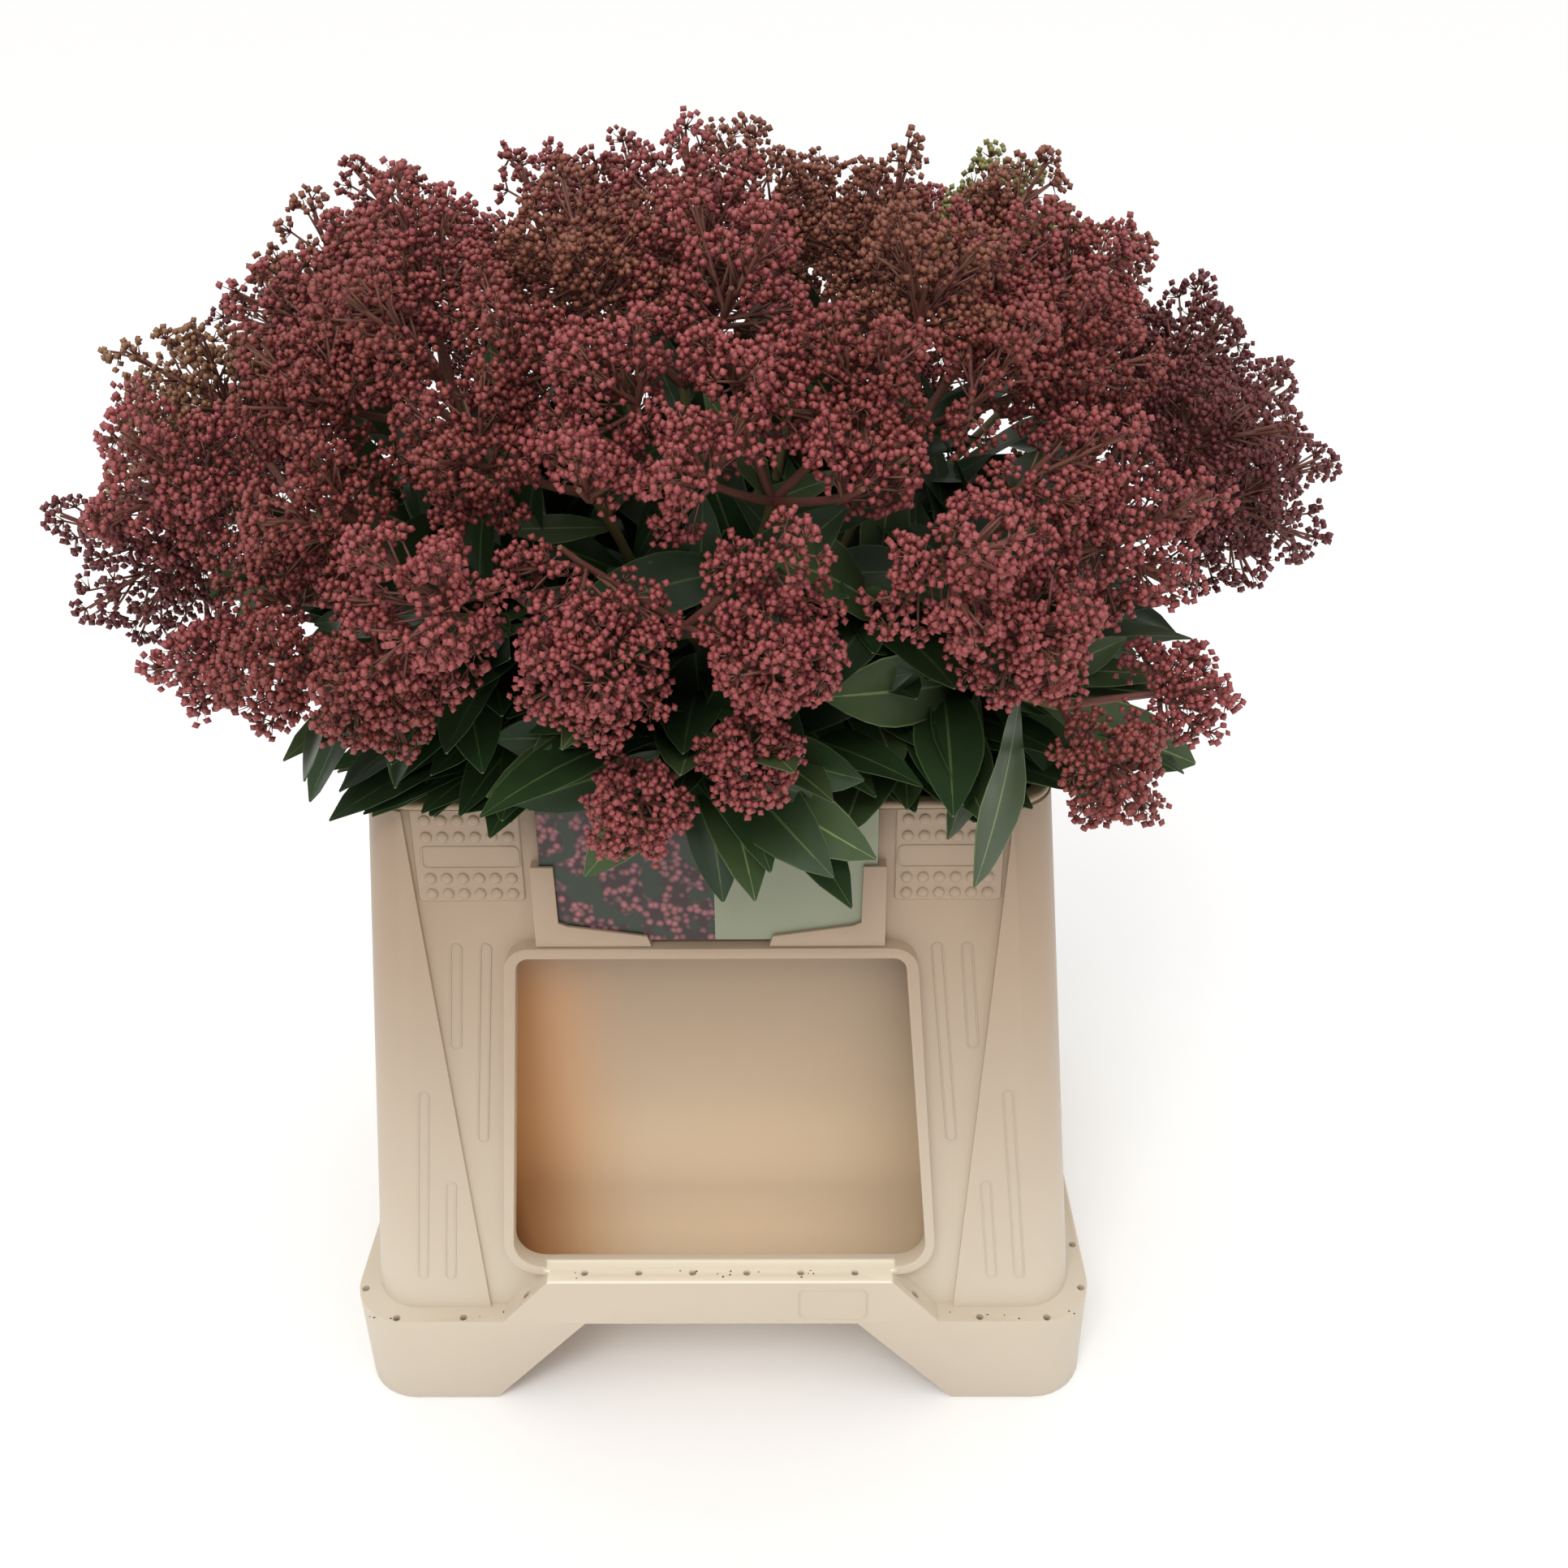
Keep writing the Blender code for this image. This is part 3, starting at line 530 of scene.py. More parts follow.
# Painted light: the raised ledge's narrow top face is lightened, as if it caught the light from above.
LEDGE_PAINTED_LIGHT = PaintedLight((0.88, 0.80, 0.65), (
    ("Z", 0.0740, 0.0752), ("Z", 0.0775, 0.0768),
    ("X", AXIS[0] - 0.0790, AXIS[0] - 0.0765), ("X", AXIS[0] + 0.0790, AXIS[0] + 0.0765)))
SHADED_UPWARD = PaintedLight((0.37, 0.265, 0.175), (("Z", 0.085, 0.225),))
# Painted light: the tub's wall grows paler and warmer towards its foot, as if more light reached it there.
TUB_FOOT_PAINTED_LIGHT = PaintedLight((0.76, 0.57, 0.375), (("Z", 0.150, 0.070),))
# Painted warm shade: deep orange on the low left of the tub's wall, standing in for light bounced inside
# and passed through the plastic in that shaded corner.
TUB_PAINTED_WARM_SHADE = PaintedLight((0.72, 0.33, 0.115), (("X", -0.030, -0.105), ("Z", 0.25, 0.19)))


# The crown's rule, the same as the solid part's


@dataclass(frozen=True)
class Ring:
    """Shoots at one height of the crown; angles in degrees, sizes in metres."""

    name: str
    shoots: int
    polar: float
    first_azimuth: float
    reach: float
    heads: int
    head_radius: float
    spread_across: float
    spread_up: float
    clusters: int
    leaves: int
    leaf_length: float
    leaf_lean: float
    fine_branches: int
    filler_leaves: int
    outer: bool


RINGS = (
    Ring("top", 3, 17.0, -6.0, 1.00, 3, 0.036, 1.05, 1.05, 5, 3, 0.062, 48.0, 10, 6, False),
    Ring("shoulder", 9, 39.0, -22.0, 1.00, 4, 0.034, 1.18, 0.95, 5, 3, 0.066, 52.0, 10, 9, False),
    Ring("side", 9, 60.0, -38.5, 1.00, 4, 0.035, 1.50, 0.90, 5, 4, 0.072, 56.0, 10, 12, True),
    Ring("hem", 7, 73.5, -52.0, 0.98, 2, 0.023, 1.30, 0.85, 5, 6, 0.072, 60.0, 8, 12, True),
)


@dataclass(frozen=True)
class BucketSizes:
    """Driving sizes of the bucket, the same as the solid part's."""

    width: float = 0.335
    depth: float = 0.275
    height: float = 0.300
    flare: float = 0.024
    shelf: float = 0.0085
    ledge: float = 0.050
    base_corner: float = 0.025
    body_corner: float = 0.022
    wall: float = 0.003
    tub_half_x: float = 0.131
    tub_half_y: float = 0.101
    tub_taper: float = 0.022
    tub_foot: float = 0.024
    tub_wall: float = 0.0025
    flange: float = 0.0032
    room: float = 0.0003

    def sleeve_half(self, z: float | np.ndarray, across: float) -> float | np.ndarray:
        """Half width of the sleeve's sloping wall: foot - flare * (z - ledge) / (height - ledge)."""
        foot = across / 2 - self.shelf
        return foot - self.flare * (z - self.ledge) / (self.height - self.ledge)

    def face_y(self, z: float | np.ndarray) -> float | np.ndarray:
        """The sleeve's front face at height z; the back face is its mirror image."""
        return -self.sleeve_half(z, self.depth)

    def tub_inside(self, z: float | np.ndarray, half: float) -> float | np.ndarray:
        """Half width of the tub's hollow at height z."""
        share = (self.height - z) / (self.height - self.tub_foot)
        return half - self.tub_wall - self.tub_taper * share


SIZES = BucketSizes()
CROWN_CENTRE = np.array((0.0, 0.0, 0.300))
CROWN_SIZE = np.array((0.250, 0.179, 0.202))
CROWN_SQUARENESS = 2.4
NECK_SPREAD_X = 0.108
NECK_SPREAD_Y = 0.080
NECK_HEIGHT = 0.297
NECK_POLAR = 85.0
FOOT_SPREAD = 0.78
RISE_PULL = 0.36
OUTWARD_PULL = 0.40
HEAD_SPLAY = 0.42
HEAD_SINK = 0.5
FORK_AT = 0.74
RACHIS_RADIUS = 0.0026
FORK_RADIUS = 0.0019
TWIG_RADIUS = 0.0014
STEM_FOOT_RADIUS = 0.0036
STEM_TIP_RADIUS = 0.0029
SPACE_MARGIN = 0.0009
BUCKET_CLEARANCE = 0.0025
HOLDER_PROUD = 0.0036
CARD_HALF = 0.066
CARD_FOOT = 0.2416
CARD_TOP = 0.3035
BELLY_AT = 0.68
BELLY_SIDES = 4
TOP_CLUSTER_LENGTH = 1.25
CLUSTER_LEAN = 68.0
CLUSTER_STEP = 1.6
CLUSTER_WIDTH = 0.64
CLUSTER_CROWDING = 0.64
CLUSTER_SHRINKS = (1.0, 0.92, 0.84, 0.76, 0.68, 0.58)
DOME_LEAN = math.radians(104.0)
DOME_WIDTH = 0.46
DOME_STEP = 0.22
DOME_SHRINKS = (1.0, 0.90, 0.80, 0.70, 0.60)
LEAF_SPAN = 0.34
LEAF_TURN_STEP = math.radians(31.0)
LEAF_HALF_WIDTH = 0.145
LEAF_THICKNESS = 0.011
LEAF_BELLY_AT = 0.52
FRONT_HEAD_Y = -0.09


@dataclass(frozen=True)
class Cluster:
    """One side branch of a head: where it starts, where it points, its length and belly."""

    root: np.ndarray
    aim: np.ndarray
    length: float
    radius: float
    head: int

    def at(self, share: float | np.ndarray) -> np.ndarray:
        """Point or points at a share of the way along."""
        return self.root + np.asarray(share)[..., None] * self.length * self.aim


@dataclass(frozen=True)
class LeafPlace:
    """Where one leaf sits: its root, its direction, its upper side, and its length."""

    root: np.ndarray
    aim: np.ndarray
    normal: np.ndarray
    length: float


def leaned(direction: np.ndarray, turn: float | np.ndarray, lean: float | np.ndarray) -> np.ndarray:
    """Directions that lean out: cos(lean) * direction + sin(lean) * sideways.

    Sideways is cos(turn) * across + sin(turn) * up, square to the direction.

    Args:
        direction: one or more directions of length one.
        turn: angle or angles round the direction.
        lean: angle or angles away from it.

    Returns:
        As many directions, of length one but for rounding.
    """
    across, up = side_axes(direction)
    turn, lean = np.asarray(turn)[..., None], np.asarray(lean)[..., None]
    sideways = np.cos(turn) * across + np.sin(turn) * up
    return np.cos(lean) * direction + np.sin(lean) * sideways


def crown_point(azimuth: float, polar: float, reach: float) -> np.ndarray:
    """Point on the crown's squarish egg.

    The radius is (|x/a|^n + |y/b|^n + |z/c|^n)^(-1/n) for the direction (x, y, z).

    Args:
        azimuth: angle round the bucket's axis; 0 faces the viewer.
        polar: angle from straight up.
        reach: share of the egg's radius.

    Returns:
        The point.
    """
    across = math.sin(polar)
    aim = np.array((across * math.sin(azimuth), -across * math.cos(azimuth), math.cos(polar)))
    radius = (np.abs(aim / CROWN_SIZE) ** CROWN_SQUARENESS).sum() ** (-1.0 / CROWN_SQUARENESS)
    return CROWN_CENTRE + reach * radius * aim


class Shoot:
    """One stem from the tub's floor, the path of its spray and the places of its heads."""

    def __init__(self, ring: Ring, ring_index: int, number: int) -> None:
        """Work out the shoot's path and heads.

        Args:
            ring: the ring it stands in.
            ring_index: the ring's place in the list.
            number: the shoot's place in the ring.
        """
        self.ring = ring
        self.name = f"{ring.name}_{number + 1}"
        self.key = ring_index * 20 + number
        turn = ring.first_azimuth + 360.0 / ring.shoots * number
        azimuth = math.radians(turn + 4.0 * wobble(self.key, 1))
        polar = math.radians(ring.polar + 3.5 * wobble(self.key, 2))
        spread = math.degrees(polar) / NECK_POLAR
        self.neck = np.array((NECK_SPREAD_X * spread * math.sin(azimuth),
                              -NECK_SPREAD_Y * spread * math.cos(azimuth), NECK_HEIGHT))
        self.foot = np.array((*(FOOT_SPREAD * self.neck[:2]), SIZES.tub_foot + SIZES.tub_wall + SIZES.room))
        self.rise = unit(self.neck - self.foot)
        target = crown_point(azimuth, polar, ring.reach + 0.03 * wobble(self.key, 3))
        self.outward = unit(target - CROWN_CENTRE)
        span = float(np.linalg.norm(target - self.neck))
        start = self.neck + self.rise * SIZES.room
        self.curve = (start, start + self.rise * RISE_PULL * span,
                      target - self.outward * OUTWARD_PULL * span, target)
        self.fork = bezier(self.curve, FORK_AT)
        self.heads = self.place_heads(target)
        self.lines = self.own_lines()

    def along(self, t: float) -> tuple[np.ndarray, np.ndarray]:
        """The curve's point and direction at share t of its length."""
        point = bezier(self.curve, t)
        return point, unit(bezier(self.curve, t + 0.02) - point)

    def place_heads(self, target: np.ndarray) -> list[tuple[np.ndarray, np.ndarray]]:
        """Set the heads round the end of the shoot.

        Args:
            target: the end of the shoot.

        Returns:
            The base and the direction of each head.
        """
        ring = self.ring
        across, up = side_axes(self.outward)
        turn = math.pi * (0.18 * wobble(self.key, 4) + (0.25 if ring.heads > 2 else 0.0))
        placed = []
        for k in range(ring.heads):
            angle = turn + 2 * math.pi * k / ring.heads
            sideways = ring.spread_across * math.cos(angle) * across + ring.spread_up * math.sin(angle) * up
            centre = target + sideways * ring.head_radius * (1.0 + 0.10 * wobble(self.key, 5, k))
            direction = unit(self.outward + HEAD_SPLAY * sideways)
            placed.append((centre - HEAD_SINK * ring.head_radius * direction, direction))
        return placed

    def own_lines(self) -> tuple[np.ndarray, np.ndarray]:
        """Starts and ends of the pieces of line that stand for this shoot when space is shared out.

        Returns:
            Rows of starts and rows of ends.
        """
        path = [self.foot, self.neck, *bezier(self.curve, np.array((0.25, 0.5, FORK_AT)))]
        lines = list(zip(path, path[1:]))
        for base, direction in self.heads:
            lines += [(self.fork, base), (base, base + 0.9 * self.ring.head_radius * direction)]
        return tuple(np.array(ends) for ends in zip(*lines))


def distance_to_lines(points: np.ndarray, lines: tuple) -> np.ndarray:
    """Distance from each point to the nearest of some pieces of line.

    Args:
        points: rows of x, y, z.
        lines: the pieces' starts and ends, as rows.

    Returns:
        One distance for each point.
    """
    starts, ends = lines
    along = ends - starts
    offset = points[:, None, :] - starts[None, :, :]
    share = np.clip((offset * along).sum(-1) / (along * along).sum(-1), 0.0, 1.0)
    return np.linalg.norm(offset - share[..., None] * along, axis=-1).min(axis=1)


def clears_bucket(points: np.ndarray) -> bool:
    """Tell whether a form stays out of the bucket and off the card.

    Args:
        points: rows of x, y, z on the form.

    Returns:
        True where every point is above the rim, in the mouth, or outside the sleeve.
    """
    x, y, z = np.abs(points[:, 0]), np.abs(points[:, 1]), points[:, 2]
    above = z > SIZES.height + BUCKET_CLEARANCE
    inside = (x < SIZES.tub_inside(z, SIZES.tub_half_x) - BUCKET_CLEARANCE) & (
        y < SIZES.tub_inside(z, SIZES.tub_half_y) - BUCKET_CLEARANCE)
    stand_off = HOLDER_PROUD + BUCKET_CLEARANCE
    outside = (x > SIZES.sleeve_half(z, SIZES.width) + BUCKET_CLEARANCE) | (
        y > SIZES.sleeve_half(z, SIZES.depth) + stand_off)
    off_card = (np.abs(points[:, 1] - SIZES.face_y(z)) > stand_off) | (
        z > CARD_TOP + BUCKET_CLEARANCE) | (x > CARD_HALF + BUCKET_CLEARANCE)
    return bool(np.all((above | inside | outside) & off_card))


def probe(root: np.ndarray, ring: np.ndarray, tip: np.ndarray) -> np.ndarray:
    """Points on a spindle: its corners, and three points along each of its edges.

    Args:
        root: the point at its start.
        ring: rows of points round its belly.
        tip: the point at its end.

    Returns:
        Rows of x, y, z.
    """
    ends = [(root[None], ring), (ring, np.roll(ring, -1, axis=0)), (ring, tip[None])]
    rows = [root[None], ring, tip[None]]
    for share in (0.25, 0.5, 0.75):
        rows += [a * (1 - share) + b * share for a, b in ends]
    return np.vstack(rows)


class Planting:
    """All shoots and the space that each one keeps to."""

    def __init__(self) -> None:
        """Set out all shoots, and gather for each the lines of all the others."""
        self.shoots = [Shoot(ring, index, number)
                       for index, ring in enumerate(RINGS) for number in range(ring.shoots)]
        self.others = {}
        for shoot in self.shoots:
            rest = [other.lines for other in self.shoots if other is not shoot]
            self.others[shoot.name] = tuple(np.vstack(ends) for ends in zip(*rest))

    def keeps_to_space(self, shoot: Shoot, points: np.ndarray) -> bool:
        """True where the points clear the bucket and lie nearer this shoot than any other.

        Args:
            shoot: the shoot.
            points: rows of x, y, z.

        Returns:
            Whether all the points do.
        """
        if not clears_bucket(points):
            return False
        own = distance_to_lines(points, shoot.lines)
        other = distance_to_lines(points, self.others[shoot.name])
        return not np.any(other < own + 2 * SPACE_MARGIN)

    def fitted(self, shoot: Shoot, branch: Cluster, turn: float, shrinks: tuple,
               neighbours: list[Cluster]) -> list[Cluster]:
        """Find the first size at which a side branch keeps to its space.

        Args:
            shoot: the shoot it grows on.
            branch: the side branch at full size.
            turn: angle of its belly's first corner.
            shrinks: shares of full size, in the order in which they are tried.
            neighbours: side branches that it may not crowd.

        Returns:
            The branch at that size, or nothing where it fits at none.
        """
        for shrink in shrinks:
            tried = replace(branch, length=branch.length * shrink, radius=branch.radius * shrink)
            belly = tried.at(BELLY_AT)
            gaps = [np.linalg.norm(belly - other.at(BELLY_AT))
                    - CLUSTER_CROWDING * (tried.radius + other.radius) for other in neighbours]
            if min(gaps, default=0.0) < 0.0:
                continue
            rim = belly + tried.radius * wheel(*side_axes(tried.aim), BELLY_SIDES, turn)
            if self.keeps_to_space(shoot, probe(tried.root, rim, tried.at(1.0))):
                return [tried]
        return []

    def clusters(self, shoot: Shoot) -> list[Cluster]:
        """Side branches round each head's stalk, each rooted a little lower.

        Args:
            shoot: the shoot whose heads they make in the solid part.

        Returns:
            The side branches of all its heads.
        """
        ring, key = shoot.ring, shoot.key
        found: list[Cluster] = []
        for head, (base, direction) in enumerate(shoot.heads):
            for k in range(ring.clusters):
                if k == 0:
                    aim, length, step = direction, TOP_CLUSTER_LENGTH, 1.0
                else:
                    turn = 2 * math.pi * k / (ring.clusters - 1) + 0.5 * wobble(key, 6, head)
                    lean = math.radians(CLUSTER_LEAN + 8.0 * wobble(key, 7, head, k))
                    aim = unit(leaned(direction, turn, lean))
                    length, step = 0.98 + 0.08 * wobble(key, 8, head, k), 1.0 + CLUSTER_STEP * k
                branch = Cluster(base - direction * TWIG_RADIUS * step, aim, length * ring.head_radius,
                                 CLUSTER_WIDTH * ring.head_radius, head)
                found += self.fitted(shoot, branch, 0.7 * k, CLUSTER_SHRINKS, found)
        return found

    @staticmethod
    def drawn_in(ring: Ring, base: np.ndarray) -> float:
        """Share of full length for side branches: the hem and the lowest front heads are smaller.

        Args:
            ring: the shoot's ring.
            base: the head's base.

        Returns:
            The share.
        """
        front = base[1] < FRONT_HEAD_Y
        if ring.name == "hem":
            return 0.68 if front and abs(base[0]) < 0.09 else 0.84
        return 0.70 if front and base[2] < 0.392 else 1.0

    def dome(self, shoot: Shoot) -> list[Cluster]:
        """The heads' finer side branches, spread over a dome round each head's stalk.

        Branch k of n leans acos(1 - (k + 0.5) / n * (1 - cos 104)) from the head's direction and
        turns by the golden angle; it is drawn in where it would leave the shoot's own space.

        Args:
            shoot: the shoot whose heads they make.

        Returns:
            The side branches of all its heads.
        """
        ring, found = shoot.ring, []
        for head, (base, direction) in enumerate(shoot.heads):
            for k in range(ring.fine_branches):
                share = (k + 0.5) / ring.fine_branches
                lean = math.acos(1.0 - share * (1.0 - math.cos(DOME_LEAN)))
                turn = GOLDEN_ANGLE * k + math.pi * wobble(shoot.key, 14, head)
                length = 1.02 + 0.22 * math.cos(lean) ** 2 + 0.07 * wobble(shoot.key, 15, k)
                branch = Cluster(base - direction * ring.head_radius * DOME_STEP * share,
                                 unit(leaned(direction, turn, lean)),
                                 ring.head_radius * length * self.drawn_in(ring, base),
                                 DOME_WIDTH * ring.head_radius, head)
                found += self.fitted(shoot, branch, 0.0, DOME_SHRINKS, [])
        return found

    def leaves(self, shoot: Shoot, clusters: list[Cluster]) -> list[LeafPlace]:
        """Leaves in a loose whorl below the heads, turned by the golden angle each time.

        Args:
            shoot: the shoot they grow on.
            clusters: side branches whose bellies they keep out of.

        Returns:
            The place of each leaf that fits.
        """
        ring, key, found = shoot.ring, shoot.key, []
        stem = (shoot.lines[0][:1], shoot.lines[1][:1])
        for k in range(ring.leaves):
            point, direction = shoot.along(FORK_AT - LEAF_SPAN * k / ring.leaves)
            turn = GOLDEN_ANGLE * k + math.pi * wobble(key, 9)
            lean = math.radians(ring.leaf_lean + 12.0 * wobble(key, 10, k))
            for attempt in range(5):
                aim = leaned(direction, turn + attempt * LEAF_TURN_STEP, lean)
                length = ring.leaf_length * (1.0 + 0.18 * wobble(key, 11, k)) * (1.0 - 0.07 * attempt)
                root = point - aim * RACHIS_RADIUS * 0.6
                side = unit(np.cross(aim, direction)) * LEAF_HALF_WIDTH * length
                lift = unit(np.cross(side, aim)) * LEAF_THICKNESS * length
                middle = root + LEAF_BELLY_AT * aim * length
                blade = np.array((middle - side, middle + lift, middle + side, middle - lift))
                points = probe(root, blade, root + aim * length)
                free_of_stem = distance_to_lines(points, stem).min() > STEM_TIP_RADIUS + BUCKET_CLEARANCE
                free_of_buds = all(
                    np.linalg.norm(points - cluster.at(BELLY_AT), axis=1).min() > cluster.radius
                    for cluster in clusters)
                if free_of_stem and free_of_buds and self.keeps_to_space(shoot, points):
                    found.append(LeafPlace(root, aim, direction, length))
                    break
        return found


# The plant


def circle(radius: float, sides: int, turn: float = 0.0) -> np.ndarray:
    """Rows of x, y round a circle, counter-clockwise."""
    angle = turn + 2 * math.pi * np.arange(sides) / sides
    return radius * np.stack((np.cos(angle), np.sin(angle)), axis=1)


def at_height(outline: np.ndarray, z: float) -> np.ndarray:
    """Rows of x, y, z from rows of x, y at one height."""
    return np.column_stack((outline, np.full(len(outline), z)))


def bud_template() -> tuple[np.ndarray, np.ndarray]:
    """Points and faces of a bud of unit radius in eight triangles: two rings of three, one turned.

    Returns:
        Rows of x, y, z, and rows of three indices.
    """
    rings = (at_height(circle(1.0, 3), 0.34), at_height(circle(0.92, 3, math.pi / 3), 1.62))
    faces = [(2, 1, 0), (3, 4, 5)]
    for k in range(3):
        after = (k + 1) % 3
        faces += [(k, after, 3 + k), (3 + k, after, 3 + after)]
    return np.vstack(rings), np.array(faces)


def envelope(t: np.ndarray) -> np.ndarray:
    """Share of the belly's radius at share t of a cluster's length: up to the belly, then in."""
    return np.where(t < BELLY_AT, t / BELLY_AT, (1.0 - t) / (1.0 - BELLY_AT))


class Blade:
    """One leathery leaf: a folded, curled surface with a top skin, an under skin and an edge.

    Half-width is L * (0.146 * shape(s) + 0.011) with shape(s) = sin(pi * s^1.25)^0.85; the
    midline drops by L * curl * (s^2 - 0.25 s) and the halves rise by fold * |u| of the width.
    """

    ROWS = 11
    COLUMNS = 5
    TOP, REST, YOUNG_TOP = 0, 1, 2
    HALF_WIDTH = 0.146
    FOOT_HALF_WIDTH = 0.011
    TIP_HALF_WIDTH = 0.0006
    HALF_THICKNESS = 0.0004

    def __init__(self, place: LeafPlace, key: int, curl: float = 0.10) -> None:
        """Work out the blade's surface.

        Args:
            place: where it sits.
            key: number that gives it its own curl, fold and age.
            curl: how far its midline drops.
        """
        s = np.linspace(0.0, 1.0, self.ROWS)
        u = np.linspace(-1.0, 1.0, self.COLUMNS)
        curl = curl + 0.10 * wobble(key, 31)
        fold = 0.16 + 0.08 * wobble(key, 32)
        self.young = wobble(key, 34) > 0.55
        side = unit(np.cross(place.aim, place.normal))
        up = unit(np.cross(side, place.aim))
        shape = np.sin(math.pi * s**1.25) ** 0.85
        half = place.length * (self.HALF_WIDTH * shape + self.FOOT_HALF_WIDTH)
        half[-1] = self.TIP_HALF_WIDTH
        bend = place.length * curl * (s**2 - 0.25 * s)
        wave = 0.018 * place.length * np.sin(9.0 * s + 3.0 * wobble(key, 33))
        centre = place.root + (place.length * s)[:, None] * place.aim - bend[:, None] * up
        rise = fold * np.abs(u) * half[:, None] + (wave * shape)[:, None] * u**2
        self.grid = centre[:, None, :] + (half[:, None] * u)[..., None] * side + rise[..., None] * up
        self.uv = np.stack(np.meshgrid(s, (u + 1) / 2, indexing="ij")[::-1], axis=-1).reshape(-1, 2)
        self.lift = self.HALF_THICKNESS * (1.0 - 0.8 * np.abs(u)[:, None] ** 2) * up
        self.flip = np.dot(np.cross(side, self.grid[1, 0] - self.grid[0, 0]), up) < 0

    def middle_points(self) -> np.ndarray:
        """Points of the blade past its foot, as rows."""
        return self.grid[2:].reshape(-1, 3)

    def add_to(self, shell: Shell) -> None:
        """Put both skins and the edge into the shell.

        Args:
            shell: the shell of all leaves.
        """
        top, low = ((self.grid + sign * self.lift).reshape(-1, 3) for sign in (1, -1))
        index = np.arange(self.ROWS * self.COLUMNS).reshape(self.ROWS, self.COLUMNS)
        corners = (index[:-1, :-1], index[:-1, 1:], index[1:, 1:], index[1:, :-1])
        quads = np.stack([corner.ravel() for corner in corners], axis=1)
        rim = np.concatenate((index[0], index[1:, -1], index[-1, -2::-1], index[-2:0:-1, 0]))
        edge = ring_quads(2, len(rim))[:, ::-1]
        if self.flip:
            quads, edge = quads[:, ::-1], edge[:, ::-1]
        shell.add(top, quads, uv=self.uv, material=self.YOUNG_TOP if self.young else self.TOP)
        shell.add(low, quads[:, ::-1], uv=self.uv, material=self.REST)
        shell.add(np.vstack((top[rim], low[rim])), edge, uv=np.tile(self.uv[rim], (2, 1)),
                  material=self.REST)


CORNER_SHARES = ((1.0, 1.0), (0.86, 1.02), (1.02, 0.80), (0.72, 1.04), (1.03, 0.60), (0.60, 1.05))
CARD_KEPT_CLEAR_BELOW = 0.282


def hides_card(points: np.ndarray) -> bool:
    """True where any of the points hangs well down in front of the card."""
    before = (np.abs(points[:, 0]) < CARD_HALF) & (points[:, 1] < -SIZES.tub_half_y)
    return bool(np.any(before & (points[:, 2] < CARD_KEPT_CLEAR_BELOW)))


